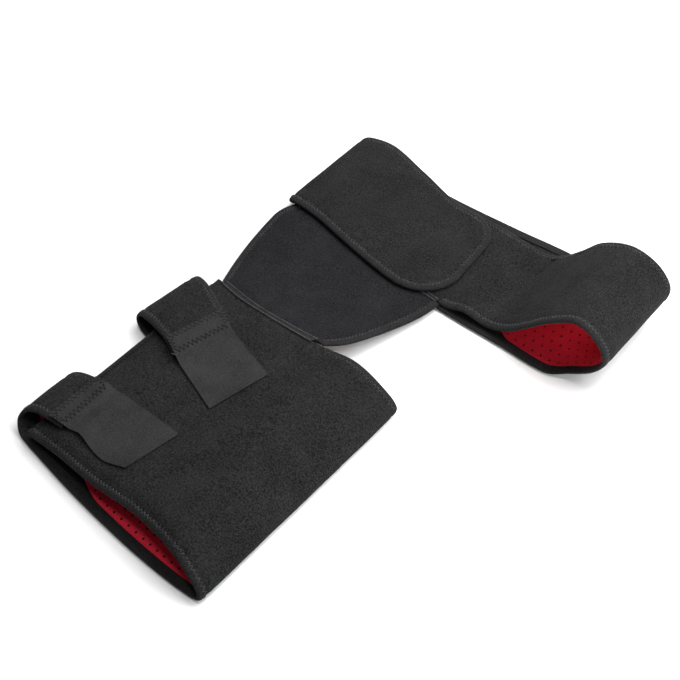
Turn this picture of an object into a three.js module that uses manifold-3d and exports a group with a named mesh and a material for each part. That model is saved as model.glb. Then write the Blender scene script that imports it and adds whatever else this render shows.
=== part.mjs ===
// A hip brace of black neoprene with a red lining, lying closed on a table: a thigh wrap shut by two
// hook tabs, a bridge panel, and a waist belt whose loose end folds back over the front as a flap.
// Millimetres, +Z up, +Y along the leg from knee to hip, +X across the leg towards the wrap's fold.
import * as THREE from "three";
import { mergeVertices } from "three/addons/utils/BufferGeometryUtils.js";
import Module from "manifold-3d";

const wasm = await Module();
wasm.setup();

// Sheet build-up, as offsets from the middle of the sheet towards its outer face
const SHEET = 4.5; // foam, loop face and lining together
const FACE = SHEET / 2;
const LINING = 1.2;
const GAP = 0.3; // clearance between pieces that touch on the real brace
const SHELL = { inner: -FACE + LINING + GAP, outer: FACE };
const LINER = { inner: -FACE, outer: -FACE + LINING };
const WHOLE = { inner: -FACE, outer: FACE };

// Binding tape folded over an edge: how far it reaches in on the outer and on the lining side, its
// thickness, and its web past the edge
const BIND_REACH = 6;
const BIND_INNER = 8.5;
const BIND_TAPE = 0.8;
const BIND_WEB = 1.2;
const CUT_OVER = 3; // how far a cutter runs past what it cuts

// Seam tape and hook patches
const TAPE_HALF = 2.9;
const TAPE_THICK = 0.9;
const TAPE_LIFT = 0.4;
const TAPE_ENDS = { thigh: { right: 0.06, left: 0.99 }, belt: { right: 0.02, left: 0.98 } }; // seam shares
const HOOK_THICK = 1.0;
const HOOK_LIFT = FACE + GAP + HOOK_THICK / 2;
const SEAM_GAP = 1.2; // between the sheets that a seam tape joins

// Steps along each strip between two rows of its table, and across it
const STEPS = { thigh: 2, belt: 2, tab: 2, hook: 2, tape: 8 };
const ACROSS = { thigh: 2, belt: 1, tab: 1, hook: 2, bridge: 6 };

// The thigh wrap, from its free edge on top, round the fold and back under. Each row is a line along
// the leg: where it meets the knee edge and the hip edge, in the part's axes.
const THIGH_ROWS = [
  { at: "free edge", xKnee: 22.8, yKnee: -4, zKnee: 14, xHip: 26.6, yHip: 247.5, zHip: 15.5 },
  { at: "left shoulder", xKnee: 62, yKnee: -3, zKnee: 24, xHip: 64, yHip: 241, zHip: 20 },
  { at: "crown left", xKnee: 112, yKnee: -4.5, zKnee: 28.5, xHip: 112, yHip: 240, zHip: 25 },
  { at: "crown right", xKnee: 176, yKnee: -3, zKnee: 36.5, xHip: 172, yHip: 240.5, zHip: 33 },
  { at: "brow", xKnee: 222, yKnee: -8, zKnee: 33.5, xHip: 212, yHip: 247, zHip: 34 },
  { at: "slope", xKnee: 247, yKnee: -13, zKnee: 21, xHip: 246, yHip: 247, zHip: 22 },
  { at: "fold top", xKnee: 258, yKnee: -16, zKnee: 12.5, xHip: 260.5, yHip: 246, zHip: 13 },
  { at: "fold side", xKnee: 260.5, yKnee: -18, zKnee: 7, xHip: 263.5, yHip: 245, zHip: 7 },
  { at: "fold foot", xKnee: 255, yKnee: -18.5, zKnee: 2.6, xHip: 258, yHip: 245, zHip: 2.6 },
  { at: "floor right", xKnee: 232, yKnee: -20.5, zKnee: FACE, xHip: 244, yHip: 245, zHip: FACE },
  { at: "floor middle", xKnee: 180, yKnee: -21, zKnee: FACE, xHip: 180, yHip: 246, zHip: FACE },
  { at: "floor", xKnee: 100, yKnee: -16.5, zKnee: FACE, xHip: 100, yHip: 246, zHip: FACE },
  { at: "floor left", xKnee: 26, yKnee: -8.2, zKnee: FACE, xHip: 26, yHip: 246, zHip: FACE },
];

// The two tabs, each from its root on the bottom layer, round the free edge and over the top
const LOWER_TAB_ROWS = [
  { at: "root", xKnee: 25.6, yKnee: -8, zKnee: FACE, xHip: 25.6, yHip: 62, zHip: FACE },
  { at: "foot", xKnee: 12, yKnee: -5.5, zKnee: 2.6, xHip: 13, yHip: 64, zHip: 2.6 },
  { at: "side low", xKnee: 5, yKnee: -1.5, zKnee: 6.5, xHip: 6.5, yHip: 66, zHip: 6.5 },
  { at: "side", xKnee: 1.8, yKnee: 3.5, zKnee: 12.5, xHip: 3.2, yHip: 68, zHip: 12.5 },
  { at: "side high", xKnee: 5.8, yKnee: 9.5, zKnee: 19.5, xHip: 7.8, yHip: 70, zHip: 19.5 },
  { at: "over", xKnee: 17, yKnee: 14, zKnee: 24.4, xHip: 18.4, yHip: 73, zHip: 24.2 },
  { at: "lap", xKnee: 34, yKnee: 16, zKnee: 25.8, xHip: 34, yHip: 76.5, zHip: 25.6 },
  { at: "end", xKnee: 51.3, yKnee: 17, zKnee: 27.4, xHip: 50, yHip: 79, zHip: 27.2 },
];
const UPPER_TAB_ROWS = [
  { at: "root", xKnee: 25.6, yKnee: 153, zKnee: FACE, xHip: 25.6, yHip: 226, zHip: FACE },
  { at: "foot", xKnee: 7.5, yKnee: 156, zKnee: 2.6, xHip: 15.5, yHip: 230, zHip: 2.6 },
  { at: "side low", xKnee: 0.3, yKnee: 158, zKnee: 6.5, xHip: 9, yHip: 232, zHip: 6.5 },
  { at: "side", xKnee: -2.3, yKnee: 160, zKnee: 12.5, xHip: 6.5, yHip: 233.5, zHip: 12.5 },
  { at: "side high", xKnee: 2, yKnee: 161, zKnee: 19, xHip: 11, yHip: 234, zHip: 19 },
  { at: "over", xKnee: 16.2, yKnee: 159, zKnee: 23.8, xHip: 24, yHip: 231.5, zHip: 23 },
  { at: "lap", xKnee: 44, yKnee: 153.5, zKnee: 26.5, xHip: 56, yHip: 218.5, zHip: 26 },
  { at: "end", xKnee: 71.9, yKnee: 142.2, zKnee: 29.5, xHip: 87.7, yHip: 203, zHip: 28.9 },
];

// The hook patches sewn on the tab ends: what each row lies over, and how far clear of it
const LOWER_HOOK_ROWS = [
  { at: "sewn start", over: "tab", clear: 0.4, xKnee: 32.5, yKnee: 17.6, xHip: 32.5, yHip: 76.6 },
  { at: "sewn end", over: "tab", clear: 0.4, xKnee: 50.5, yKnee: 18.4, xHip: 49, yHip: 77.8 },
  { at: "tuck", over: "thigh", clear: 2.0, xKnee: 58.5, yKnee: 20, xHip: 56.5, yHip: 78.5 },
  { at: "bump", over: "thigh", clear: 2.8, xKnee: 70.7, yKnee: 21.5, xHip: 67, yHip: 79.1 },
  { at: "dip", over: "thigh", clear: 1.2, xKnee: 91.5, yKnee: 17.2, xHip: 86, yHip: 79.6 },
  { at: "curl", over: "thigh", clear: 0.6, xKnee: 109, yKnee: 15.7, xHip: 104, yHip: 80 },
  { at: "end", over: "thigh", clear: 0.6, xKnee: 131.3, yKnee: 22.2, xHip: 142.2, yHip: 79 },
];
const UPPER_HOOK_ROWS = [
  { at: "sewn start", over: "tab", clear: 0.4, xKnee: 49.6, yKnee: 152.7, xHip: 65.6, yHip: 213 },
  { at: "sewn end", over: "tab", clear: 0.7, xKnee: 71.3, yKnee: 142.6, xHip: 87, yHip: 203 },
  { at: "tuck", over: "thigh", clear: 2.5, xKnee: 81, yKnee: 138.9, xHip: 95.8, yHip: 200 },
  { at: "step", over: "thigh", clear: 1.4, xKnee: 92, yKnee: 135.2, xHip: 106.5, yHip: 197 },
  { at: "middle", over: "thigh", clear: 0.6, xKnee: 114.5, yKnee: 127.7, xHip: 128.6, yHip: 190.2 },
  { at: "end", over: "thigh", clear: 0.6, xKnee: 143.5, yKnee: 117.3, xHip: 158.3, yHip: 181 },
];

// The waist belt, from its sewn start under the flap, round the loop, back along the floor, round the
// fold and over again as the flap. Rows are lines across the belt, in the belt's own frame.
const BELT_ORIGIN = { x: 156.8, y: 367.6, turn: 4.8 };
const START_Z = 7.4; // middle of the sewn start, above the bottom layer
const FLAP_Z = 13.5; // middle of the flap, above the sewn start
const FOLD_MID = (FACE + FLAP_Z) / 2;
const BELT_ROWS = [
  { at: "sewn start", xLow: -126, yLow: 36, zLow: START_Z, xHigh: -127, yHigh: 140, zHigh: START_Z },
  { at: "seam left", xLow: -70, yLow: 22, zLow: START_Z, xHigh: -66, yHigh: 136, zHigh: START_Z },
  { at: "seam right", xLow: 0, yLow: 10.5, zLow: START_Z, xHigh: 0, yHigh: 131.5, zHigh: START_Z },
  { at: "seam end", xLow: 56.5, yLow: 3.4, zLow: START_Z, xHigh: 52, yHigh: 129.5, zHigh: START_Z },
  { at: "past the flap", xLow: 68, yLow: 3.2, zLow: 8.4, xHigh: 66, yHigh: 127.8, zHigh: 8.4 },
  { at: "ripple", xLow: 84, yLow: 3.5, zLow: 14.5, xHigh: 84, yHigh: 124, zHigh: 10.5 },
  { at: "dip", xLow: 113, yLow: 3.5, zLow: 11, xHigh: 112, yHigh: 121.5, zHigh: 10.5 },
  { at: "rise foot", xLow: 133, yLow: 3, zLow: 19.5, xHigh: 134, yHigh: 119.5, zHigh: 24 },
  { at: "rise", xLow: 153, yLow: 3, zLow: 38.5, xHigh: 152, yHigh: 119, zHigh: 44 },
  { at: "rise head", xLow: 174, yLow: 3, zLow: 61, xHigh: 172, yHigh: 119, zHigh: 68.5 },
  { at: "crest", xLow: 204, yLow: 3, zLow: 82, xHigh: 200.5, yHigh: 120.5, zHigh: 80 },
  { at: "shoulder", xLow: 226.5, yLow: 2.5, zLow: 71.5, xHigh: 229, yHigh: 120, zHigh: 73 },
  { at: "side", xLow: 238.7, yLow: 1.8, zLow: 50, xHigh: 246.5, yHigh: 120.5, zHigh: 51.5 },
  { at: "under", xLow: 229.5, yLow: 1.8, zLow: 28, xHigh: 242.5, yHigh: 123, zHigh: 29 },
  { at: "heel", xLow: 207, yLow: 0.8, zLow: 9.5, xHigh: 212, yHigh: 131.5, zHigh: 8.5 },
  { at: "floor right", xLow: 186.5, yLow: -6, zLow: FACE, xHigh: 186, yHigh: 139.5, zHigh: FACE },
  { at: "floor", xLow: 130, yLow: -3.5, zLow: FACE, xHigh: 130, yHigh: 142.8, zHigh: FACE },
  { at: "floor middle", xLow: 58, yLow: 0, zLow: FACE, xHigh: 62, yHigh: 140, zHigh: FACE },
  { at: "floor left", xLow: -40, yLow: 14, zLow: FACE, xHigh: -30, yHigh: 139.5, zHigh: FACE },
  { at: "fold foot", xLow: -146, yLow: 33.2, zLow: FACE, xHigh: -135, yHigh: 151, zHigh: FACE },
  { at: "fold low", xLow: -151, yLow: 31.4, zLow: 3.9, xHigh: -139.8, yHigh: 152, zHigh: 3.9 },
  { at: "fold side", xLow: -153, yLow: 28.4, zLow: FOLD_MID, xHigh: -142, yHigh: 153, zHigh: FOLD_MID },
  { at: "fold high", xLow: -151.4, yLow: 26.8, zLow: 11.85, xHigh: -140, yHigh: 154.5, zHigh: 11.85 },
  { at: "fold top", xLow: -145.6, yLow: 26.7, zLow: FLAP_Z, xHigh: -134.6, yHigh: 156.2, zHigh: FLAP_Z },
  { at: "flap root", xLow: -113, yLow: 22.8, zLow: FLAP_Z, xHigh: -109, yHigh: 160.4, zHigh: FLAP_Z },
  { at: "flap left", xLow: -57, yLow: 8.5, zLow: FLAP_Z, xHigh: -55, yHigh: 144.4, zHigh: FLAP_Z },
  { at: "flap right", xLow: 4, yLow: -3.8, zLow: FLAP_Z, xHigh: 4, yHigh: 125.3, zHigh: FLAP_Z },
  { at: "flap end", xLow: 57, yLow: -5, zLow: FLAP_Z, xHigh: 57, yHigh: 123.7, zHigh: FLAP_Z },
];
const FLAP_FIRST_ROW = "flap root";
const FLAP_CORNERS = { low: 46, high: 35 }; // radius of the flap's two rounded corners
const CORNER_STEPS = 7;
const FLAP_HOOK = { x: 24, y: 52, length: 36, width: 66 }; // hidden patch under the flap, belt frame

// The bridge panel, from the thigh wrap's hip edge to the belt's lower edge. Each row is a line from
// one to the other: where it starts on the hip edge, where it ends in the belt's frame, and how far
// it bows out sideways.
const BRIDGE_ROWS = [
  { at: "right edge", xThigh: 179, xBelt: 57, yBelt: 2.1, bow: 3.5 },
  { at: "middle right", xThigh: 130, xBelt: -8, yBelt: 10.6, bow: 2 },
  { at: "middle left", xThigh: 82, xBelt: -74, yBelt: 21.8, bow: -6 },
  { at: "left edge", xThigh: 33, xBelt: -137, yBelt: 37.5, bow: -19 },
];
const BRIDGE_STATIONS = [0, 0.04, 0.1, 0.18, 0.33, 0.5, 0.66, 0.8, 0.89, 0.95, 1]; // closer near both seams
const BRIDGE_SAG = 6; // how far its middle hangs below a straight line
const BOW_PEAK = 0.75; // where along the panel its sides bow out most
const BRIDGE_CORNER = { pull: 8, reach: 0.22, fade: 5 }; // its right corner, rounded off at the hip edge
const HIP_BINDING_FROM = 178; // where the hip edge's binding starts, right of the bridge

// Colours
const BLACK_LOOP = new THREE.MeshStandardMaterial({ color: 0x2b2b2c, roughness: 0.95, metalness: 0 });
const BLACK_KNIT = new THREE.MeshStandardMaterial({ color: 0x29292b, roughness: 0.9, metalness: 0 });
const BLACK_TAPE = new THREE.MeshStandardMaterial({ color: 0x333335, roughness: 0.8, metalness: 0 });
const GREY_HOOK = new THREE.MeshStandardMaterial({ color: 0x404041, roughness: 0.7, metalness: 0 });
const RED_LINING = new THREE.MeshStandardMaterial({ color: 0xb01522, roughness: 0.85, metalness: 0 });

const brace = new THREE.Group();

function addPiece(name, geometry, material) {
  const mesh = new THREE.Mesh(geometry, material);
  mesh.name = name;
  brace.add(mesh);
}

// Surfaces

const evenly = (count) => Array.from({ length: count + 1 }, (_, i) => i / count);

// A sheet ruled between two smooth edges, and held up by the table. t runs along it, w across it from
// the first edge to the second.
class Strip {
  constructor(firstEdge, secondEdge) {
    this.first = new THREE.CatmullRomCurve3(firstEdge);
    this.second = new THREE.CatmullRomCurve3(secondEdge);
    this.last = firstEdge.length - 1;
  }
  point(t, w) {
    const place = this.first.getPoint(t).lerp(this.second.getPoint(t), w);
    return place.setZ(Math.max(place.z, FACE));
  }
  // The outer face's direction
  normal(t, w) {
    const reach = 1e-3;
    const along = this.point(Math.min(1, t + reach), w).sub(this.point(Math.max(0, t - reach), w));
    const across = this.point(t, 1).sub(this.point(t, 0));
    return along.cross(across).normalize();
  }
  // Stations along it, so many steps from row to row
  stations(steps) {
    return evenly(this.last * steps);
  }
}

const thighRowPoints = (rows) => [
  rows.map((r) => new THREE.Vector3(r.xKnee, r.yKnee, r.zKnee)),
  rows.map((r) => new THREE.Vector3(r.xHip, r.yHip, r.zHip)),
];

const beltTurn = THREE.MathUtils.degToRad(BELT_ORIGIN.turn);

function beltPoint(x, y, z) {
  const up = new THREE.Vector3(0, 0, 1);
  const origin = new THREE.Vector3(BELT_ORIGIN.x, BELT_ORIGIN.y, 0);
  return new THREE.Vector3(x, y, z).applyAxisAngle(up, beltTurn).add(origin);
}

const thigh = new Strip(...thighRowPoints(THIGH_ROWS));
const lowerTab = new Strip(...thighRowPoints(LOWER_TAB_ROWS));
const upperTab = new Strip(...thighRowPoints(UPPER_TAB_ROWS));
const belt = new Strip(
  BELT_ROWS.map((r) => beltPoint(r.xLow, r.yLow, r.zLow)),
  BELT_ROWS.map((r) => beltPoint(r.xHigh, r.yHigh, r.zHigh)),
);

// The t where an edge of a strip reaches a given x, between two values of t where x only grows
function stationAtX(strip, w, x, from, to) {
  let low = from;
  let high = to;
  for (let i = 0; i < 40; i += 1) {
    const middle = (low + high) / 2;
    if (strip.point(middle, w).x < x) low = middle;
    else high = middle;
  }
  return (low + high) / 2;
}

const rowStation = (rows, name) => rows.findIndex((r) => r.at === name) / (rows.length - 1);
const THIGH_TOP_END = rowStation(THIGH_ROWS, "fold top");
const TAB_TOP_START = rowStation(LOWER_TAB_ROWS, "side high");

// The height of a strip's middle over a point in plan, where the strip lies roughly level
function heightOver(strip, x, y, from, to) {
  let t = from;
  let w = 0.5;
  for (let i = 0; i < 6; i += 1) {
    t = stationAtX(strip, w, x, from, to);
    const [near, far] = [strip.point(t, 0).y, strip.point(t, 1).y];
    w = (y - near) / (far - near);
  }
  return strip.point(t, w).z;
}

// Solids from grids and sweeps

function geometryFrom(points, triangles) {
  const geometry = new THREE.BufferGeometry();
  const places = points.flatMap((p) => [p.x, p.y, p.z]);
  geometry.setAttribute("position", new THREE.Float32BufferAttribute(places, 3));
  geometry.setIndex(triangles.flat());
  return geometry;
}

// A wall between two offsets from a surface, over a grid of t and w
function wallGeometry(surface, ts, ws, layer) {
  const points = [];
  for (const offset of [layer.outer, layer.inner]) {
    for (const t of ts) {
      for (const w of ws) points.push(surface.point(t, w).addScaledVector(surface.normal(t, w), offset));
    }
  }
  const rows = ts.length;
  const columns = ws.length;
  const id = (side, i, j) => side * rows * columns + i * columns + j;
  const triangles = [];
  const quad = (a, b, c, d) => triangles.push([a, b, c], [a, c, d]);
  for (let i = 0; i + 1 < rows; i += 1) {
    for (let j = 0; j + 1 < columns; j += 1) {
      quad(id(0, i, j), id(0, i + 1, j), id(0, i + 1, j + 1), id(0, i, j + 1));
      quad(id(1, i, j), id(1, i, j + 1), id(1, i + 1, j + 1), id(1, i + 1, j));
    }
    quad(id(0, i, 0), id(1, i, 0), id(1, i + 1, 0), id(0, i + 1, 0));
    quad(id(0, i + 1, columns - 1), id(1, i + 1, columns - 1), id(1, i, columns - 1), id(0, i, columns - 1));
  }
  for (let j = 0; j + 1 < columns; j += 1) {
    quad(id(0, 0, j + 1), id(1, 0, j + 1), id(1, 0, j), id(0, 0, j));
    quad(id(0, rows - 1, j), id(1, rows - 1, j), id(1, rows - 1, j + 1), id(0, rows - 1, j + 1));
  }
  return geometryFrom(points, triangles);
}

// A solid with one closed section carried along a list of frames, each with a point and two directions
function sweepGeometry(frames, section) {
  const points = frames.flatMap((f) =>
    section.map(([out, up]) => f.point.clone().addScaledVector(f.out, out).addScaledVector(f.up, up)),
  );
  const n = section.length;
  const triangles = [];
  for (let i = 0; i + 1 < frames.length; i += 1) {
    for (let j = 0; j < n; j += 1) {
      const a = i * n + j;
      const b = i * n + ((j + 1) % n);
      triangles.push([a, b, b + n], [a, b + n, a + n]);
    }
  }
  const flat = section.map(([out, up]) => new THREE.Vector2(out, up));
  const end = (frames.length - 1) * n;
  for (const [a, b, c] of THREE.ShapeUtils.triangulateShape(flat, [])) {
    triangles.push([a, c, b], [end + a, end + b, end + c]);
  }
  const volume = triangles.reduce(
    (sum, [a, b, c]) => sum + points[a].dot(new THREE.Vector3().crossVectors(points[b], points[c])),
    0,
  );
  return geometryFrom(points, volume < 0 ? triangles.map(([a, b, c]) => [a, c, b]) : triangles);
}

// Frames along one edge of a strip: w is 0 or 1, and out points off the edge, in line with the rows
function edgeFrames(strip, w, ts) {
  return ts.map((t) => ({
    point: strip.point(t, w),
    out: strip.point(t, w).sub(strip.point(t, 1 - w)).normalize(),
    up: strip.normal(t, w),
  }));
}

// The same with out turned square to the edge
function squareFrames(strip, w, ts) {
  return edgeFrames(strip, w, ts).map((f, i) => {
    const reach = 1e-3;
    const ahead = strip.point(Math.min(1, ts[i] + reach), w);
    const along = ahead.sub(strip.point(Math.max(0, ts[i] - reach), w)).normalize();
    return { ...f, out: along.cross(f.up).multiplyScalar(w === 0 ? 1 : -1) };
  });
}

// Sections, as [out of the edge, towards the outer face], counter-clockwise
const BINDING_SECTION = [
  [-BIND_INNER, -FACE],
  [BIND_WEB, -FACE],
  [BIND_WEB, FACE],
  [-BIND_REACH, FACE],
  [-BIND_REACH, FACE - BIND_TAPE],
  [GAP, FACE - BIND_TAPE],
  [GAP, LINER.outer],
  [-BIND_INNER, LINER.outer],
];
const cutSection = (reach, low, high) => [
  [-reach - GAP, low],
  [CUT_OVER, low],
  [CUT_OVER, high],
  [-reach - GAP, high],
];
const OUTER_CUT = cutSection(BIND_REACH, FACE - BIND_TAPE - GAP, FACE + GAP);
const LINER_CUT = cutSection(BIND_INNER + 3 * GAP, -FACE - GAP, FACE);
const WHOLE_CUT = cutSection(BIND_INNER, -FACE - GAP, LINER.outer + GAP);

function solidOf(geometry) {
  const bare = geometry.clone();
  bare.deleteAttribute("normal");
  bare.deleteAttribute("uv");
  const merged = mergeVertices(bare, 1e-4);
  const mesh = new wasm.Mesh({
    numProp: 3,
    vertProperties: new Float32Array(merged.attributes.position.array),
    triVerts: new Uint32Array(merged.index.array),
  });
  return new wasm.Manifold(mesh);
}

function cut(geometry, cutters) {
  const left = cutters.reduce((solid, cutter) => solid.subtract(solidOf(cutter)), solidOf(geometry));
  const mesh = left.getMesh();
  const made = new THREE.BufferGeometry();
  made.setAttribute("position", new THREE.BufferAttribute(mesh.vertProperties, mesh.numProp));
  made.setIndex(new THREE.BufferAttribute(mesh.triVerts, 1));
  return made;
}

// Adds a sheet's black shell and red lining, both let in along the edges that carry binding
function addLinedSheet(name, strip, ts, ws, boundEdges, trims = []) {
  const shell = wallGeometry(strip, ts, ws, SHELL);
  const liner = wallGeometry(strip, ts, ws, LINER);
  const cutters = (section) => [...boundEdges.map((frames) => sweepGeometry(frames, section)), ...trims];
  addPiece(`${name}_shell`, cut(shell, cutters(OUTER_CUT)), BLACK_LOOP);
  addPiece(`${name}_lining`, cut(liner, cutters(LINER_CUT)), RED_LINING);
}

function addBinding(name, frames) {
  addPiece(name, sweepGeometry(frames, BINDING_SECTION), BLACK_TAPE);
}

// Frames carried a little past their last one, or past both ends, so that a cutter leaves no skin there
function runOn(frames) {
  const [end, before] = [frames.at(-1), frames.at(-2)];
  const step = end.point.clone().sub(before.point).setLength(CUT_OVER);
  return [...frames, { ...end, point: end.point.clone().add(step) }];
}
const runOver = (frames) => runOn(runOn(frames).reverse());

// Thigh wrap
const thighStations = thigh.stations(STEPS.thigh);
const kneeEdge = edgeFrames(thigh, 0, thighStations);
const hipFrom = stationAtX(thigh, 1, HIP_BINDING_FROM, 0, THIGH_TOP_END);
const hipEdge = edgeFrames(thigh, 1, [hipFrom, ...thighStations.filter((t) => t > hipFrom + 0.01)]);
const thighLength = thigh.point(0, 1).distanceTo(thigh.point(0, 0));
const sideMargin = (BIND_INNER + BIND_WEB) / thighLength;
const sideEdge = evenly(ACROSS.thigh).map((share) => {
  const w = sideMargin + share * (1 - 2 * sideMargin);
  const back = thigh.point(0, w).sub(thigh.point(0.006, w)).normalize();
  return { point: thigh.point(0, w), out: back, up: thigh.normal(0, w) };
});
addLinedSheet(
  "thigh",
  thigh,
  thighStations,
  evenly(ACROSS.thigh),
  [runOver(kneeEdge), runOver(hipEdge), runOver(sideEdge)],
);
addBinding("thigh_knee_binding", kneeEdge);
addBinding("thigh_hip_binding", hipEdge);
addBinding("thigh_side_binding", sideEdge);

// Tabs and their hook patches
function addTab(name, tab, hookRows) {
  const ts = tab.stations(STEPS.tab);
  const edges = [0, 1].map((w) => edgeFrames(tab, w, ts));
  addLinedSheet(`${name}_tab`, tab, ts, evenly(ACROSS.tab), edges.map(runOver));
  addBinding(`${name}_tab_knee_binding`, edges[0]);
  addBinding(`${name}_tab_hip_binding`, edges[1]);
  const beds = {
    tab: (x, y) => heightOver(tab, x, y, TAB_TOP_START, 1),
    thigh: (x, y) => heightOver(thigh, x, y, 0, THIGH_TOP_END),
  };
  const edgePoints = (side) =>
    hookRows.map((r) => {
      const [x, y] = [r[`x${side}`], r[`y${side}`]];
      return new THREE.Vector3(x, y, beds[r.over](x, y) + HOOK_LIFT + r.clear);
    });
  const hook = new Strip(edgePoints("Knee"), edgePoints("Hip"));
  const layer = { inner: -HOOK_THICK / 2, outer: HOOK_THICK / 2 };
  const geometry = wallGeometry(hook, hook.stations(STEPS.hook), evenly(ACROSS.hook), layer);
  addPiece(`${name}_tab_hook`, geometry, GREY_HOOK);
}
addTab("lower", lowerTab, LOWER_HOOK_ROWS);
addTab("upper", upperTab, UPPER_HOOK_ROWS);

// Waist belt
const flapStation = rowStation(BELT_ROWS, FLAP_FIRST_ROW);
const beltStations = belt.stations(STEPS.belt);
const seamEnd = rowStation(BELT_ROWS, "seam end");

// One rounded corner of the flap: its arc from one edge to the next, and what lies outside it
function roundedCorner(before, corner, after, radius) {
  const inDirection = corner.clone().sub(before).normalize();
  const outDirection = after.clone().sub(corner).normalize();
  const turn = inDirection.angleTo(outDirection);
  const reach = radius * Math.tan(turn / 2);
  const left = new THREE.Vector3(0, 0, 1).cross(inDirection);
  const start = corner.clone().addScaledVector(inDirection, -reach);
  const centre = start.clone().addScaledVector(left, radius);
  const up = new THREE.Vector3(0, 0, 1);
  const arc = evenly(CORNER_STEPS).map((share) => {
    const out = left.clone().negate().applyAxisAngle(up, turn * share);
    return { point: centre.clone().addScaledVector(out, radius), out, up };
  });
  const outside = (f) => f.point.clone().addScaledVector(f.out, CUT_OVER);
  const beyond = corner.clone().addScaledVector(inDirection.clone().sub(outDirection), CUT_OVER);
  const rim = [outside(arc[0]), ...arc.map((f) => f.point), outside(arc.at(-1)), beyond];
  const outline = rim.map((p) => new THREE.Vector2(p.x, p.y));
  const depth = SHEET + GAP;
  const waste = new THREE.ExtrudeGeometry(new THREE.Shape(outline), { depth, bevelEnabled: false });
  return { arc, waste: waste.translate(0, 0, FLAP_Z - depth / 2) };
}

const flapLow = belt.point(1, 0);
const flapHigh = belt.point(1, 1);
const flapRight = rowStation(BELT_ROWS, "flap right");
const lowCorner = roundedCorner(belt.point(flapRight, 0), flapLow, flapHigh, FLAP_CORNERS.low);
const highCorner = roundedCorner(flapLow, flapHigh, belt.point(flapRight, 1), FLAP_CORNERS.high);
const lowEnd = stationAtX(belt, 0, lowCorner.arc[0].point.x, flapStation, 1);
const highEnd = stationAtX(belt, 1, highCorner.arc.at(-1).point.x, flapStation, 1);
const within = (from, to) => beltStations.filter((t) => t > from + 0.002 && t < to - 0.004);
const beltEdge = [
  ...edgeFrames(belt, 0, [seamEnd, ...within(seamEnd, flapStation)]),
  ...squareFrames(belt, 0, [flapStation, ...within(flapStation, lowEnd)]),
  ...lowCorner.arc,
  ...highCorner.arc,
  ...squareFrames(belt, 1, [flapStation, ...within(flapStation, highEnd)].reverse()),
  ...edgeFrames(belt, 1, [...within(0, flapStation).reverse(), 0]),
];
addLinedSheet("belt", belt, beltStations, evenly(ACROSS.belt), [runOn(beltEdge)], [
  lowCorner.waste,
  highCorner.waste,
]);
addBinding("belt_binding", beltEdge);

const hookRoom = FLAP_Z - START_Z - SHEET - 2 * GAP;
const flapHook = new THREE.BoxGeometry(FLAP_HOOK.length, FLAP_HOOK.width, hookRoom);
flapHook.rotateZ(beltTurn);
const hookPlace = beltPoint(FLAP_HOOK.x, FLAP_HOOK.y, (START_Z + FLAP_Z) / 2);
addPiece("belt_flap_hook", flapHook.translate(...hookPlace), GREY_HOOK);

// Bridge panel, from the thigh wrap (t 0) to the belt (t 1), and from its right edge to its left
const bridgeOnThigh = BRIDGE_ROWS.map((r) => {
  const place = thigh.point(stationAtX(thigh, 1, r.xThigh, 0, THIGH_TOP_END), 1);
  return place.setY(place.y + SEAM_GAP);
});
const bridgeOnBelt = BRIDGE_ROWS.map((r) => beltPoint(r.xBelt, r.yBelt, START_Z));
const bridgeBow = BRIDGE_ROWS.map((r) => new THREE.Vector3(r.bow, 0, 0));
const bridgeEdge = new THREE.CatmullRomCurve3(bridgeOnThigh);
const bridgeHead = new THREE.CatmullRomCurve3(bridgeOnBelt);
const bridgeBows = new THREE.CatmullRomCurve3(bridgeBow);
const bridge = {
  point(t, w) {
    const place = bridgeEdge.getPoint(w).lerp(bridgeHead.getPoint(w), t);
    const reach = t < BOW_PEAK ? BOW_PEAK : 1 - BOW_PEAK;
    place.addScaledVector(bridgeBows.getPoint(w), 1 - ((t - BOW_PEAK) / reach) ** 2);
    const atCorner = Math.max(0, 1 - t / BRIDGE_CORNER.reach) ** 2 * (1 - w) ** BRIDGE_CORNER.fade;
    place.setX(place.x - BRIDGE_CORNER.pull * atCorner);
    return place.setZ(place.z - BRIDGE_SAG * 4 * t * (1 - t));
  },
  normal(t, w) {
    const reach = 1e-3;
    const along = this.point(t + reach, w).sub(this.point(t - reach, w));
    const across = this.point(t, Math.min(1, w + reach)).sub(this.point(t, Math.max(0, w - reach)));
    return along.cross(across).normalize();
  },
};
const bridgeEdges = [0, 1].map((w) =>
  BRIDGE_STATIONS.map((t) => {
    const along = bridge.point(t + 1e-3, w).sub(bridge.point(t - 1e-3, w)).normalize();
    const up = bridge.normal(t, w);
    const out = new THREE.Vector3().crossVectors(up, along).multiplyScalar(w === 0 ? -1 : 1);
    return { point: bridge.point(t, w), out, up };
  }),
);
const bridgeWall = wallGeometry(bridge, BRIDGE_STATIONS, evenly(ACROSS.bridge), WHOLE);
const bridgeCutters = bridgeEdges
  .map(runOver)
  .flatMap((frames) => [sweepGeometry(frames, OUTER_CUT), sweepGeometry(frames, WHOLE_CUT)]);
addPiece("bridge_panel", cut(bridgeWall, bridgeCutters), BLACK_KNIT);
const inset = (frames) => frames.map((f, i) => {
  const share = i === 0 ? 0.12 : i === frames.length - 1 ? -0.12 : 0;
  const next = frames[Math.min(frames.length - 1, i + 1)].point;
  const last = frames[Math.max(0, i - 1)].point;
  return { ...f, point: f.point.clone().addScaledVector(next.clone().sub(last), share) };
});
addBinding("bridge_right_binding", inset(bridgeEdges[0]));
addBinding("bridge_left_binding", inset(bridgeEdges[1]));

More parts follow.
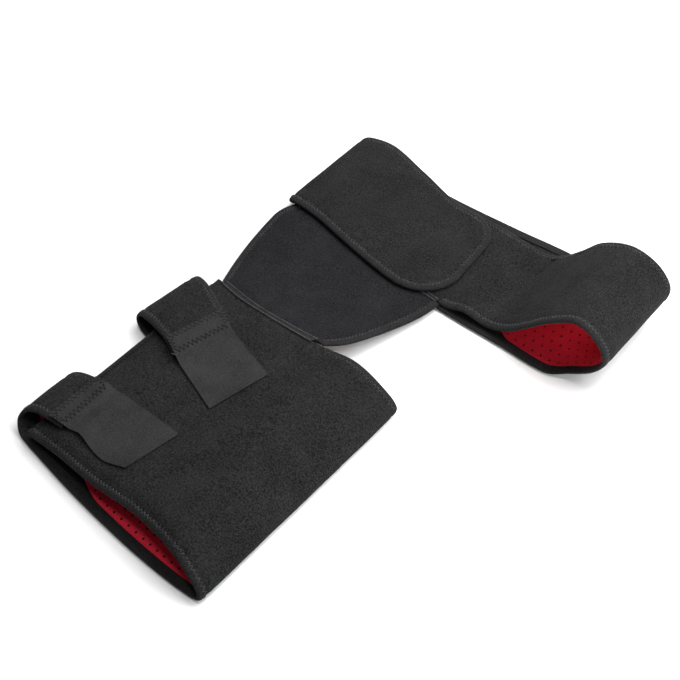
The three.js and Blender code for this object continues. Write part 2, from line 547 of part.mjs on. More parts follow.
// Tape over a seam, bent along the seam to lie on the sheets to either side of it. Each side gives
// the point and the outer direction at a share of the seam, from right to left, and a distance from it.
function addSeamTape(name, ends, firstSide, secondSide) {
  const at = (t, w) => {
    const share = THREE.MathUtils.lerp(ends.right, ends.left, t);
    const inFrom = (side) => side(share, Math.abs(1 - 2 * w) * TAPE_HALF);
    if (w < 0.5) return inFrom(firstSide);
    if (w > 0.5) return inFrom(secondSide);
    const [one, other] = [inFrom(firstSide), inFrom(secondSide)];
    return { point: one.point.lerp(other.point, 0.5), up: one.up.add(other.up).normalize() };
  };
  const surface = { point: (t, w) => at(t, w).point, normal: (t, w) => at(t, w).up };
  const layer = { inner: FACE + TAPE_LIFT, outer: FACE + TAPE_LIFT + TAPE_THICK };
  addPiece(name, wallGeometry(surface, evenly(STEPS.tape), evenly(2), layer), BLACK_TAPE);
}

const placeOn = (surface, t, w) => ({ point: surface.point(t, w), up: surface.normal(t, w) });
const bridgeLength = bridge.point(0, 0.5).distanceTo(bridge.point(1, 0.5));
const beltWidth = belt.point(0, 0).distanceTo(belt.point(0, 1));
const thighSeam = [0, 1].map((w) => stationAtX(thigh, 1, bridge.point(0, w).x, 0, THIGH_TOP_END));
addSeamTape(
  "thigh_seam_tape",
  TAPE_ENDS.thigh,
  (share, inward) => placeOn(bridge, inward / bridgeLength, share),
  (share, inward) => placeOn(thigh, THREE.MathUtils.lerp(...thighSeam, share), 1 - inward / thighLength),
);
addSeamTape(
  "belt_seam_tape",
  TAPE_ENDS.belt,
  (share, inward) => placeOn(belt, THREE.MathUtils.lerp(seamEnd, 0, share), inward / beltWidth),
  (share, inward) => placeOn(bridge, 1 - inward / bridgeLength, share),
);

// The origin is on the table under the middle of the brace
const box = new THREE.Box3().setFromObject(brace, true);
const middle = box.getCenter(new THREE.Vector3());
brace.position.set(-middle.x, -middle.y, -box.min.z);

export default brace;
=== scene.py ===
# %% [markdown]
# A hip brace of black foam cloth lies closed on a table: a wrap for the thigh, shut by two tabs, a
# bridge panel, and a belt for the waist that loops round and folds back over itself as a flap.
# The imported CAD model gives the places. This lesson dresses it: every piece is modelled again as the
# cloth it is, and each of these meshes stands in for one CAD solid.

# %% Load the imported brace
import math

import bmesh
import bpy
import numpy as np
from mathutils import Matrix, Vector


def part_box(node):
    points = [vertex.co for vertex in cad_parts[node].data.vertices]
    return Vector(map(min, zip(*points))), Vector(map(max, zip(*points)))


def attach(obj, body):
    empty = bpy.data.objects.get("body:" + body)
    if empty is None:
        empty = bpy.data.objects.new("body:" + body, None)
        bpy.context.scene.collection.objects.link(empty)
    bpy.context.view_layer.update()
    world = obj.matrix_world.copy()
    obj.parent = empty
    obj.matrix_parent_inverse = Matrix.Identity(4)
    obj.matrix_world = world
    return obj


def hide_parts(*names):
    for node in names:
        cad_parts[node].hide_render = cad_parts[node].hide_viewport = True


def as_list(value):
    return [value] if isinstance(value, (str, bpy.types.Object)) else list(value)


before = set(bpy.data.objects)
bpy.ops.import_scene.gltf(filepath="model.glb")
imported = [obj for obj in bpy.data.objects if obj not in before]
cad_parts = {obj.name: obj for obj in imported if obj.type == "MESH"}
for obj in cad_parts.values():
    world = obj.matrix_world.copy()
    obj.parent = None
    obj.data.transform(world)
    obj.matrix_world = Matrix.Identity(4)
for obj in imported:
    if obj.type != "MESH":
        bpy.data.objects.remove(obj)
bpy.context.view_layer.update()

MM = 0.001  # the tables below are in millimetres, Blender's scene in metres

# %% [markdown]
# The camera looks down on the brace from the front right. Its place could be typed in as three
# numbers, but an aim, two angles and a distance say more, and each can be tuned on its own.

# %% Camera
CAMERA_AIM = Vector((-0.0317, 0.0272, 0.0))
CAMERA_AZIMUTH = math.radians(40.8)
CAMERA_ELEVATION = math.radians(52.0)
CAMERA_DISTANCE = 1.25
CAMERA_LENS = 66.2  # mm
CAMERA_SENSOR = 36.0  # mm wide

towards_camera = Vector((
    math.sin(CAMERA_AZIMUTH) * math.cos(CAMERA_ELEVATION),
    -math.cos(CAMERA_AZIMUTH) * math.cos(CAMERA_ELEVATION),
    math.sin(CAMERA_ELEVATION),
))
camera_data = bpy.data.cameras.new("camera")
camera_data.lens = CAMERA_LENS
camera_data.sensor_width = CAMERA_SENSOR
camera_data.dof.use_dof = False
camera = bpy.data.objects.new("camera", camera_data)
camera.location = CAMERA_AIM + CAMERA_DISTANCE * towards_camera
camera.rotation_euler = (-towards_camera).to_track_quat("-Z", "Y").to_euler()
bpy.context.scene.collection.objects.link(camera)
bpy.context.scene.camera = camera
print("camera at", [round(x, 3) for x in camera.location])

# %% [markdown]
# Black cloth is hard to light: one hard lamp leaves it a flat hole. A white room gives soft light from
# all round, so every fold edge catches some. A big soft box a little behind the brace sets the tops off
# from the sides, and two small ones hang over the belt's loop and look into it from the front. The
# overhead light could be a soft box too, but a wide sun lights the floor evenly as far as it goes, and
# it shines straight down past the knee edge, so the red lining there fades into the dark. The plain
# display transform keeps white paper white and black cloth black.

# %% Light and floor
ROOM_STRENGTH = 0.15
OVERHEAD = {"from": (0.05, 0.04, 1.0), "strength": 0.95, "spread": math.radians(14)}
FLOOR_SIZE = 20.0
FLOOR_DROP = 0.0003  # keeps the floor just under the cloth that lies on it
FLOOR_WHITE = (0.92, 0.92, 0.92, 1.0)
FLOOR_ROUGHNESS = 0.9
SOFT_BOXES = [
    {"name": "back", "place": (-0.1, 0.95, 1.35), "size": 1.3, "watts": 28.0},
    {"name": "over_loop", "place": (0.45, 0.35, 0.7), "size": 0.4, "watts": 4.5},
    {"name": "into_loop", "place": (0.42, -0.12, 0.3), "size": 0.2, "watts": 0.6},
    {"name": "right_side", "place": (1.4, 0.6, 0.8), "size": 1.0, "watts": 8.0},
    {"name": "left_side", "place": (-1.3, 0.7, 0.8), "size": 1.0, "watts": 5.0},
]

scene = bpy.context.scene
scene.view_settings.view_transform = "Standard"
scene.world = bpy.data.worlds.new("white_room")
scene.world.use_nodes = True
room = scene.world.node_tree.nodes["Background"]
room.inputs["Color"].default_value = (1.0, 1.0, 1.0, 1.0)
room.inputs["Strength"].default_value = ROOM_STRENGTH

for box in SOFT_BOXES:
    lamp_data = bpy.data.lights.new(box["name"], "AREA")
    lamp_data.size = box["size"]
    lamp_data.energy = box["watts"]
    lamp = bpy.data.objects.new(box["name"], lamp_data)
    lamp.location = box["place"]
    lamp.rotation_euler = (CAMERA_AIM - lamp.location).to_track_quat("-Z", "Y").to_euler()
    scene.collection.objects.link(lamp)

sun_data = bpy.data.lights.new("overhead", "SUN")
sun_data.energy = OVERHEAD["strength"]
sun_data.angle = OVERHEAD["spread"]
sun = bpy.data.objects.new("overhead", sun_data)
sun.rotation_euler = Vector(OVERHEAD["from"]).to_track_quat("Z", "Y").to_euler()
scene.collection.objects.link(sun)

bpy.ops.mesh.primitive_plane_add(size=FLOOR_SIZE, location=(0, 0, -FLOOR_DROP))
floor = bpy.context.object
floor.name = "floor"
floor_paint = bpy.data.materials.new("floor_paint")
floor_paint.use_nodes = True
floor_shader = floor_paint.node_tree.nodes["Principled BSDF"]
floor_shader.inputs["Base Color"].default_value = FLOOR_WHITE
floor_shader.inputs["Roughness"].default_value = FLOOR_ROUGHNESS
floor.data.materials.append(floor_paint)
print("lamps:", len(SOFT_BOXES) + 1)

# %% [markdown]
# Every finish here is cloth, so one helper makes them all. A coarse noise gives the patches where the
# nap lies another way, a fine noise the single loops, and a ramp turns the two into colours. The same
# fine noise, as bump, breaks up the light. Sheen is the soft rim light of fibres that stand up. What
# is the same all over, such as the sheen, is set on the shader itself.

# %% A helper for cloth finishes
FIBRE_GLOSS = 0.1  # cloth has next to none
SHEEN_ROUGHNESS = 0.45
FIBRE_DETAIL = 2.0
NAP_DETAIL = 3.0
NAP_SIZE = 0.03  # m from patch to patch
DARKEST = 0.3  # the noise keeps mostly between these two values
LIGHTEST = 0.72


def cloth_finish(name, dark, light, grain, grain_share, bump, roughness, sheen):
    """A cloth whose fibres lie one grain apart, in metres, coloured from dark to light."""
    material = bpy.data.materials.new(name)
    material.use_nodes = True
    nodes = material.node_tree.nodes
    links = material.node_tree.links
    shader = nodes["Principled BSDF"]
    shader.inputs["Roughness"].default_value = roughness
    shader.inputs["Specular IOR Level"].default_value = FIBRE_GLOSS
    shader.inputs["Sheen Weight"].default_value = sheen
    shader.inputs["Sheen Roughness"].default_value = SHEEN_ROUGHNESS
    place = nodes.new("ShaderNodeTexCoord")

    def noise(size, detail):
        texture = nodes.new("ShaderNodeTexNoise")
        texture.inputs["Scale"].default_value = 1.0 / size
        texture.inputs["Detail"].default_value = detail
        links.new(place.outputs["Object"], texture.inputs["Vector"])
        return texture.outputs["Fac"]

    fibres = noise(grain, FIBRE_DETAIL)
    nap = noise(NAP_SIZE, NAP_DETAIL)
    mixed = nodes.new("ShaderNodeMix")
    mixed.inputs["Factor"].default_value = grain_share
    links.new(nap, mixed.inputs["A"])
    links.new(fibres, mixed.inputs["B"])
    ramp = nodes.new("ShaderNodeValToRGB")
    ramp.color_ramp.elements[0].position = DARKEST
    ramp.color_ramp.elements[0].color = (*dark, 1.0)
    ramp.color_ramp.elements[1].position = LIGHTEST
    ramp.color_ramp.elements[1].color = (*light, 1.0)
    links.new(mixed.outputs["Result"], ramp.inputs["Fac"])
    links.new(ramp.outputs["Color"], shader.inputs["Base Color"])
    relief = nodes.new("ShaderNodeBump")
    relief.inputs["Strength"].default_value = bump
    relief.inputs["Distance"].default_value = grain
    links.new(fibres, relief.inputs["Height"])
    links.new(relief.outputs["Normal"], shader.inputs["Normal"])
    return material


print("nap, mm from patch to patch:", round(1000 * NAP_SIZE))

# %% [markdown]
# The brace has brushed loop cloth, smooth knit, two tapes, hook cloth, red lining and four threads.
# Each finish could be a call of its own, but a table shows at a glance how they differ. The blacks are
# very dark, because the nap and the sheen give back some light. The threads have a coarser grain, so
# that stitches differ from one another.

# %% Finishes of the brace
def rows_of(names, table):
    """Turns a table into rows with named columns."""
    return [dict(zip(names.split(), row)) for row in table]


FINISH_ROWS = rows_of("name dark light grain grain_share bump roughness sheen", [
    ("loop_fabric", (0.0005, 0.0005, 0.0006), (0.0285, 0.0285, 0.029), 0.0016, 0.8, 0.8, 0.95, 0.02),
    ("knit_fabric", (0.0004, 0.0004, 0.0007), (0.0220, 0.0212, 0.0238), 0.0013, 0.8, 0.6, 0.9, 0.02),
    ("binding_tape", (0.004, 0.004, 0.0042), (0.024, 0.024, 0.0245), 0.0014, 0.8, 0.5, 0.8, 0.03),
    ("seam_tape", (0.006, 0.006, 0.0062), (0.028, 0.028, 0.0285), 0.0014, 0.8, 0.4, 0.75, 0.04),
    ("hook_cloth", (0.009, 0.009, 0.0092), (0.038, 0.038, 0.0382), 0.0013, 0.6, 0.35, 0.75, 0.03),
    ("red_cloth", (0.45, 0.0165, 0.034), (0.74, 0.027, 0.056), 0.0010, 0.6, 0.4, 0.85, 0.015),
    ("thread", (0.008, 0.008, 0.008), (0.062, 0.062, 0.064), 0.0030, 0.8, 0.2, 0.6, 0.05),
    # the dark thread also paints the shade in the needle pits of the hook patches
    ("dark_thread", (0.001, 0.001, 0.001), (0.012, 0.012, 0.0125), 0.0030, 0.8, 0.2, 0.7, 0.02),
    ("patch_thread", (0.0015, 0.0015, 0.0015), (0.018, 0.018, 0.0185), 0.0030, 0.8, 0.2, 0.6, 0.03),
    ("seam_thread", (0.030, 0.030, 0.030), (0.105, 0.105, 0.107), 0.0026, 0.8, 0.2, 0.55, 0.05),
])
(
    LOOP_FABRIC, KNIT_FABRIC, BINDING_TAPE, SEAM_TAPE, HOOK_CLOTH, RED_CLOTH,
    THREAD, DARK_THREAD_AND_PIT_SHADE, PATCH_THREAD, SEAM_THREAD,
) = (cloth_finish(**row) for row in FINISH_ROWS)
print("finishes:", [m.name for m in bpy.data.materials])

# %% [markdown]
# The brace is made of flat strips that bend, and a strip can be described by its two long edges. Each
# edge is a smooth line through a few points. Blender has curves for this, but a small function in
# numpy gives every point at once, for any number of steps.

# %% Smooth lines
def unit(vectors):
    return vectors / np.linalg.norm(vectors, axis=-1, keepdims=True)


def smooth_share(x, low, high):
    """Goes smoothly from 0 at low to 1 at high."""
    s = np.clip((x - low) / (high - low), 0, 1)
    return s * s * (3 - 2 * s)


def smooth_line(points):
    """A function that runs through the points while its value goes from 0 to 1."""
    points = np.asarray(points, float)
    run = np.vstack([2 * points[0] - points[1], points, 2 * points[-1] - points[-2]])
    gaps = np.sqrt(np.linalg.norm(np.diff(run, axis=0), axis=1))
    spans = len(points) - 1

    def at(t):
        place = np.clip(np.asarray(t, float), 0, 1) * spans
        k = np.minimum(place.astype(int), spans - 1)
        s = (place - k)[..., None]
        p0, p1, p2, p3 = (run[k + i] for i in range(4))
        g0, g1, g2 = (gaps[k + i][..., None] for i in range(3))
        leave = g1 * ((p1 - p0) / g0 - (p2 - p0) / (g0 + g1) + (p2 - p1) / g1)
        arrive = g1 * ((p2 - p1) / g1 - (p3 - p1) / (g1 + g2) + (p3 - p2) / g2)
        bend = 3 * (p2 - p1) - 2 * leave - arrive
        twist = 2 * (p1 - p2) + leave + arrive
        return p1 + s * leave + s**2 * bend + s**3 * twist

    return at


print("halfway between 0 and 1, a smooth share is", float(smooth_share(0.5, 0, 1)))

# %% [markdown]
# A strip is then a straight line from each point of one edge to a point of the other. A surface patch
# could do the same, but this way every place on the cloth has two plain numbers: t along the strip
# and w across it. The table holds the strip up, so it never goes lower than half its thickness.

# %% Strips
SHEET = 4.5  # foam, loop face and lining together
FACE = SHEET / 2
TINY_STEP = 1e-3


def paired(t, w):
    return np.broadcast_arrays(np.asarray(t, float), np.asarray(w, float))


def along_step(surface, t, w):
    """A tiny step along a surface, which gives its direction there."""
    return surface.point(np.minimum(1, t + TINY_STEP), w) - surface.point(np.maximum(0, t - TINY_STEP), w)


def across_step(surface, t, w):
    """And a tiny step across it."""
    return surface.point(t, np.minimum(1, w + TINY_STEP)) - surface.point(t, np.maximum(0, w - TINY_STEP))


class Strip:
    """A sheet ruled between two smooth edges. t runs along it, w across it from the first edge."""

    def __init__(self, first_edge, second_edge):
        self.first = smooth_line(first_edge)
        self.second = smooth_line(second_edge)

    def point(self, t, w):
        t, w = paired(t, w)
        place = self.first(t) * (1 - w[..., None]) + self.second(t) * w[..., None]
        place[..., 2] = np.maximum(place[..., 2], FACE)
        return place

    def normal(self, t, w):
        t, w = paired(t, w)
        across = self.point(t, np.ones_like(w)) - self.point(t, np.zeros_like(w))
        return unit(np.cross(along_step(self, t, w), across))


print("a strip is two edges; the sheet is", SHEET, "mm thick")

# %% [markdown]
# Grid lines, holes and stitches are set out in millimetres of cloth, and t is no length. Formulas for
# the length of a curve are long, so the strip is walked in fine steps instead, and a place is looked
# up in the list of distances.

# %% Measures along a strip
FINE_STEPS = 4000


def distances(line):
    return np.concatenate([[0.0], np.cumsum(np.linalg.norm(np.diff(line, axis=0), axis=1))])


def run_along(surface, w=0.5, start=0.0, end=1.0, steps=FINE_STEPS):
    """Values of t in fine steps, and how many mm along the surface each of them lies."""
    fine = np.linspace(start, end, steps)
    return fine, distances(surface.point(fine, np.full_like(fine, w)))


def even_stations(surface, step, w=0.5, start=0.0, end=1.0):
    """Values of t along a surface that lie about one step apart."""
    fine, run = run_along(surface, w, start, end)
    count = max(2, int(round(run[-1] / step)) + 1)
    return np.interp(np.linspace(0, run[-1], count), run, fine)


def length_along(surface):
    return run_along(surface)[1][-1]


def width_at(surface, t):
    t = np.asarray(t, float)
    ends = surface.point(t, np.ones_like(t)) - surface.point(t, np.zeros_like(t))
    return np.linalg.norm(ends, axis=-1)


print("each strip is measured in", FINE_STEPS, "steps")

# %% [markdown]
# The rows of the thigh wrap run from its free edge on top, over the crown, round the fold and back
# along the table. Each is a line along the leg, from the knee edge to the hip edge. The numbers are
# those of the CAD model, so the cloth comes to lie where the solids are.

# %% Rows of the thigh wrap and its tabs
LEG_COLUMNS = "at xKnee yKnee zKnee xHip yHip zHip"
THIGH_ROWS = rows_of(LEG_COLUMNS, [
    ("free edge", 22.8, -4, 14, 26.6, 247.5, 15.5),
    ("left shoulder", 62, -3, 24, 64, 241, 20),
    ("crown left", 112, -4.5, 28.5, 112, 240, 25),
    ("crown right", 176, -3, 36.5, 172, 240.5, 33),
    ("brow", 222, -8, 33.5, 212, 247, 34),
    ("slope", 247, -13, 21, 246, 247, 22),
    ("fold top", 258, -16, 12.5, 260.5, 246, 13),
    ("fold side", 260.5, -18, 7, 263.5, 245, 7),
    ("fold foot", 255, -18.5, 2.6, 258, 245, 2.6),
    ("floor right", 232, -20.5, FACE, 244, 245, FACE),
    ("floor middle", 180, -21, FACE, 180, 246, FACE),
    ("floor", 100, -16.5, FACE, 100, 246, FACE),
    ("floor left", 26, -8.2, FACE, 26, 246, FACE),
])
LOWER_TAB_ROWS = rows_of(LEG_COLUMNS, [
    ("root", 25.6, -8, FACE, 25.6, 62, FACE),
    ("foot", 12, -5.5, 2.6, 13, 64, 2.6),
    ("side low", 5, -1.5, 6.5, 6.5, 66, 6.5),
    ("side", 1.8, 3.5, 12.5, 3.2, 68, 12.5),
    ("side high", 5.8, 9.5, 19.5, 7.8, 70, 19.5),
    ("over", 17, 14, 24.4, 18.4, 73, 24.2),
    ("lap", 34, 16, 25.8, 34, 76.5, 25.6),
    ("end", 51.3, 17, 27.4, 50, 79, 27.2),
])
UPPER_TAB_ROWS = rows_of(LEG_COLUMNS, [
    ("root", 25.6, 153, FACE, 25.6, 226, FACE),
    ("foot", 7.5, 156, 2.6, 15.5, 230, 2.6),
    ("side low", 0.3, 158, 6.5, 9, 232, 6.5),
    ("side", -2.3, 160, 12.5, 6.5, 233.5, 12.5),
    ("side high", 2, 161, 19, 11, 234, 19),
    ("over", 16.2, 159, 23.8, 24, 231.5, 23),
    ("lap", 44, 153.5, 26.5, 56, 218.5, 26),
    ("end", 71.9, 142.2, 29.5, 87.7, 203, 28.9),
])


def leg_strip(rows, kind=Strip):
    knee = [(r["xKnee"], r["yKnee"], r["zKnee"]) for r in rows]
    hip = [(r["xHip"], r["yHip"], r["zHip"]) for r in rows]
    return kind(knee, hip)


def row_station(rows, name):
    """The t at which a strip passes a row of its table."""
    return [r["at"] for r in rows].index(name) / (len(rows) - 1)


THIGH_TOP_END = row_station(THIGH_ROWS, "fold top")
TAB_TOP_START = row_station(LOWER_TAB_ROWS, "side high")
lower_tab = leg_strip(LOWER_TAB_ROWS)
upper_tab = leg_strip(UPPER_TAB_ROWS)
print("tabs, mm long:", [round(length_along(tab)) for tab in (lower_tab, upper_tab)])

# %% [markdown]
# The tape on the knee edge is sewn on tight, so it draws the edge in, and the top layer turns down over
# its last two centimetres. More rows in the table could show this, but a rule is shorter: the height
# drops at a steady slope beside the edge, and a bend leads into it. The drop fades out towards the free
# edge and towards the fold. The CAD solid leaves it out, as it is only a few millimetres.

# %% The knee edge, turned down
CURL = {"slope": 0.46, "flat": 8.0, "reach": 18.0}  # mm from the edge to where the bend ends and starts
CURL_ENDS = [
    row_station(THIGH_ROWS, name) for name in ("free edge", "left shoulder", "crown right", "slope")
]


class CurledStrip(Strip):
    """The thigh wrap: a strip whose knee edge turns down a little on top, drawn in by its tape."""

    def point(self, t, w):
        t, w = paired(t, w)
        place = super().point(t, w)
        from_edge = w * np.linalg.norm(self.second(t) - self.first(t), axis=-1)
        bend = CURL["reach"] - CURL["flat"]
        bent = np.clip(CURL["reach"] - from_edge, 0, bend) ** 2 / (2 * bend)
        drop = CURL["slope"] * (bent + np.maximum(CURL["flat"] - from_edge, 0))
        on_top = smooth_share(t, *CURL_ENDS[:2]) * (1 - smooth_share(t, *CURL_ENDS[2:]))
        place[..., 2] -= drop * on_top
        return place

    def normal(self, t, w):
        t, w = paired(t, w)
        return unit(np.cross(along_step(self, t, w), across_step(self, t, w)))


thigh = leg_strip(THIGH_ROWS, CurledStrip)
print("thigh wrap, mm round:", round(length_along(thigh)))

# %% [markdown]
# The belt has a frame of its own, turned a little from the leg. Its rows run from the sewn start under
# the flap, up and round the loop, back along the table, round the fold at the left and over again as
# the flap. The rows could be typed in the leg's frame, but in the belt's own the width is easy to read.

# %% Rows of the belt
BELT_ORIGIN = np.array([156.8, 367.6, 0.0])
BELT_TURN = math.radians(4.8)
START_Z = 7.4
FLAP_Z = 13.5
FOLD_MID = (FACE + FLAP_Z) / 2
BELT_ROWS = rows_of("at xLow yLow zLow xHigh yHigh zHigh", [
    ("sewn start", -126, 36, START_Z, -127, 140, START_Z),
    ("seam left", -70, 22, START_Z, -66, 136, START_Z),
    ("seam right", 0, 10.5, START_Z, 0, 131.5, START_Z),
    ("seam end", 56.5, 3.4, START_Z, 52, 129.5, START_Z),
    ("past the flap", 68, 3.2, 8.4, 66, 127.8, 8.4),
    ("ripple", 84, 3.5, 14.5, 84, 124, 10.5),
    ("dip", 113, 3.5, 11, 112, 121.5, 10.5),
    ("rise foot", 133, 3, 19.5, 134, 119.5, 24),
    ("rise", 153, 3, 38.5, 152, 119, 44),
    ("rise head", 174, 3, 61, 172, 119, 68.5),
    ("crest", 204, 3, 82, 200.5, 120.5, 80),
    ("shoulder", 226.5, 2.5, 71.5, 229, 120, 73),
    ("side", 238.7, 1.8, 50, 246.5, 120.5, 51.5),
    ("under", 229.5, 1.8, 28, 242.5, 123, 29),
    ("heel", 207, 0.8, 9.5, 212, 131.5, 8.5),
    ("floor right", 186.5, -6, FACE, 186, 139.5, FACE),
    ("floor", 130, -3.5, FACE, 130, 142.8, FACE),
    ("floor middle", 58, 0, FACE, 62, 140, FACE),
    ("floor left", -40, 14, FACE, -30, 139.5, FACE),
    ("fold foot", -146, 33.2, FACE, -135, 151, FACE),
    ("fold low", -151, 31.4, 3.9, -139.8, 152, 3.9),
    ("fold side", -153, 28.4, FOLD_MID, -142, 153, FOLD_MID),
    ("fold high", -151.4, 26.8, 11.85, -140, 154.5, 11.85),
    ("fold top", -145.6, 26.7, FLAP_Z, -134.6, 156.2, FLAP_Z),
    ("flap root", -113, 22.8, FLAP_Z, -109, 160.4, FLAP_Z),
    ("flap left", -57, 8.5, FLAP_Z, -55, 144.4, FLAP_Z),
    ("flap right", 4, -3.8, FLAP_Z, 4, 125.3, FLAP_Z),
    ("flap end", 57, -5, FLAP_Z, 57, 123.7, FLAP_Z),
])


def belt_point(x, y, z):
    cos, sin = math.cos(BELT_TURN), math.sin(BELT_TURN)
    return np.array([cos * x - sin * y, sin * x + cos * y, z]) + BELT_ORIGIN


belt = Strip(
    [belt_point(r["xLow"], r["yLow"], r["zLow"]) for r in BELT_ROWS],
    [belt_point(r["xHigh"], r["yHigh"], r["zHigh"]) for r in BELT_ROWS],
)
SEAM_END = row_station(BELT_ROWS, "seam end")
FLAP_RIGHT = row_station(BELT_ROWS, "flap right")
print("belt, mm long:", round(length_along(belt)))

# %% [markdown]
# The tables are measured from a corner of the table top, and the frame from the middle of the brace.
# The step between the two could be typed in, but the frame can tell it: the hidden hook pad under the
# flap is a plain block, so the middle of its box is the middle of the pad.

# %% From the tables to the frame
FLAP_HOOK = {"x": 24.0, "y": 52.0, "length": 36.0, "width": 66.0}
hook_pad_place = belt_point(FLAP_HOOK["x"], FLAP_HOOK["y"], (START_Z + FLAP_Z) / 2)
pad_low, pad_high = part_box("belt_flap_hook")
SHIFT = np.array((pad_low + pad_high) / 2) - MM * hook_pad_place
SHIFT[2] = 0.0


def add_piece(name, points, faces, finish, replaces=(), slot=None, crease=50.0):
    """Makes a mesh piece from points in millimetres, and lets it ride on the brace."""
    mesh = bpy.data.meshes.new(name)
    resting = np.maximum(points, (-np.inf, -np.inf, 0.0))
    mesh.from_pydata((resting * MM + SHIFT).tolist(), [], [list(f) for f in faces])
    mesh.shade_smooth()
    mesh.set_sharp_from_angle(angle=math.radians(crease))
    mesh.materials.append(finish)
    piece = bpy.data.objects.new(name, mesh)
    bpy.context.scene.collection.objects.link(piece)
    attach(piece, "root")
    if replaces:
        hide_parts(*replaces)
    print(f"{name}: {len(mesh.vertices)} points, {len(mesh.polygons)} faces")
    return piece


print("shift in mm:", [round(1000 * s, 2) for s in SHIFT])

# %% [markdown]
# The black layer is foam with a brushed loop face, 3 mm thick. Where tape is sewn over an edge, the
# stitches pull the foam down into a groove, and the face swells up again beside it. Subdivision with
# creases could do this, but here the distance to the bound edges is known at every point, so the
# height of the face follows from it. A slow unevenness keeps the face from looking like a plate.

# %% Pinched edges
LINING_THICK = 1.2
LAYER_GAP = 0.3  # between one layer and the next
SHELL_INNER = -FACE + LINING_THICK + LAYER_GAP
BIND_REACH = 6.0  # the tape's leg on the loop face
UNDER_TAPE = 1.2  # how far the foam is pressed down under the tape
UNDER_SPAN = (BIND_REACH - 1.0, BIND_REACH + 0.4)  # mm from the edge: where this starts to fade, and ends
GROOVE = 0.75  # and just beside the tape
GROOVE_SPAN = (BIND_REACH + 0.2, 14.0)
RIM = 0.9  # and how much further right at the edge, inside the bend of the tape
RIM_SPAN = (0.0, 3.5)
SEAM_DIP = 0.9  # and beside a seam that no tape goes round
SEAM_SPAN = (3.0, 10.0)
WAVE_SIZES = (38.0, 55.0, 24.0, 80.0, 17.0)
WAVE_HEIGHT = 0.16


def faded(depth, distance, span):
    """All of a depth before the span of distances, and none of it after."""
    return depth * (1 - smooth_share(distance, *span))


def pinch(distance):
    """How far the face is drawn down at a distance from a bound edge, in mm."""
    beside = faded(GROOVE, distance, GROOVE_SPAN)
    under = faded(UNDER_TAPE - GROOVE, distance, UNDER_SPAN)
    return beside + under + faded(RIM, distance, RIM_SPAN)


def seam_dip(distance):
    """And how far at a distance from a seam."""
    return faded(SEAM_DIP, distance, SEAM_SPAN)


def unevenness(points, seed, height=WAVE_HEIGHT):
    """A slow rise and fall of the cloth, the sum of a few waves in fixed random directions."""
    draws = np.random.default_rng(seed)
    total = np.zeros(points.shape[:-1])
    for size in WAVE_SIZES:
        direction = unit(draws.normal(size=3)) * 2 * math.pi / size
        total += np.sin(points @ direction + draws.uniform(0, 2 * math.pi)) * size / max(WAVE_SIZES)
    return total * height


print("drawn down at a bound edge, mm:", round(float(pinch(0.0)), 2))

# %% [markdown]
# Each layer is a closed wall along its strip. Blender's Solidify could thicken a sheet, but its two
# faces would be alike, and here the outer one is pinched and uneven while the inner one is plain. The
# grid has closer lines beside the edges, where the height changes fast.

# %% Walls
MARGIN = [0, 1.2, 2.6, 4.8, 5.8, 6.6, 7.6, 8.8, 10.2, 11.8, 13.6, 15.6]  # mm from a bound edge
FREE_MARGIN = [0, 2, 5, 9, 13]  # and from a sewn one


def grid(ts, ws):
    return np.meshgrid(ts, ws, indexing="ij")


def across_shares(width, step, margin=MARGIN):
    """Places across a strip, closer together beside its edges."""
    count = max(2, int((width - 2 * margin[-1]) / step)) + 1
    inner = np.linspace(margin[-1], width - margin[-1], count)
    places = np.concatenate([margin[:-1], inner, width - np.array(margin[:-1][::-1])])
    return places / width


def wall(surface, ts, ws, inner, outer):
    """A closed wall between two offsets from a surface, over a grid of t and w."""
    t, w = grid(ts, ws)
    middle = surface.point(t, w)
    up = surface.normal(t, w)
    outer_face = middle + up * np.broadcast_to(outer, t.shape)[..., None]
    inner_face = middle + up * np.broadcast_to(inner, t.shape)[..., None]
    points = np.concatenate([outer_face.reshape(-1, 3), inner_face.reshape(-1, 3)])
    rows, columns = t.shape
    ids = np.arange(rows * columns).reshape(rows, columns)
    under = ids + rows * columns
    quads = []

    def add_quads(*corners):
        quads.append(np.stack([np.ravel(c) for c in corners], axis=1))

    add_quads(ids[:-1, :-1], ids[1:, :-1], ids[1:, 1:], ids[:-1, 1:])
    add_quads(under[:-1, :-1], under[:-1, 1:], under[1:, 1:], under[1:, :-1])
    add_quads(ids[:-1, 0], under[:-1, 0], under[1:, 0], ids[1:, 0])
    add_quads(ids[1:, -1], under[1:, -1], under[:-1, -1], ids[:-1, -1])
    add_quads(ids[0, 1:], under[0, 1:], under[0, :-1], ids[0, :-1])
    add_quads(ids[-1, :-1], under[-1, :-1], under[-1, 1:], ids[-1, 1:])
    return points, np.concatenate(quads)


print("grid lines beside a bound edge:", len(MARGIN))

# %% [markdown]
# The thigh wrap is the largest sheet. Tape binds its knee edge, its free edge and the right part of its
# hip edge. Along the rest of the hip edge the bridge is sewn on, and there the face is drawn in less.
# One bent plate would have the outline, but it is the drawn-in edges that show how it is sewn.

# %% Thigh wrap, black layer
FOAM_STEP = 3.5
THIGH_LONG = float(width_at(thigh, 0.0))
HIP_BINDING_FROM = 178.0  # the x where the hip edge's tape starts
EDGE_STEPS = 6000


def station_at_x(strip, w, x, start, end):
    """The t where an edge of a strip reaches a given x, between two t where x only grows."""
    fine = np.linspace(start, end, EDGE_STEPS)
    return float(np.interp(x, strip.point(fine, np.full_like(fine, w))[:, 0], fine))


HIP_FROM = station_at_x(thigh, 1, HIP_BINDING_FROM, 0, THIGH_TOP_END)
HIP_TAPE_RAMP = (HIP_FROM - 0.005, HIP_FROM + 0.002)  # the t over which the seam gives way to the tape


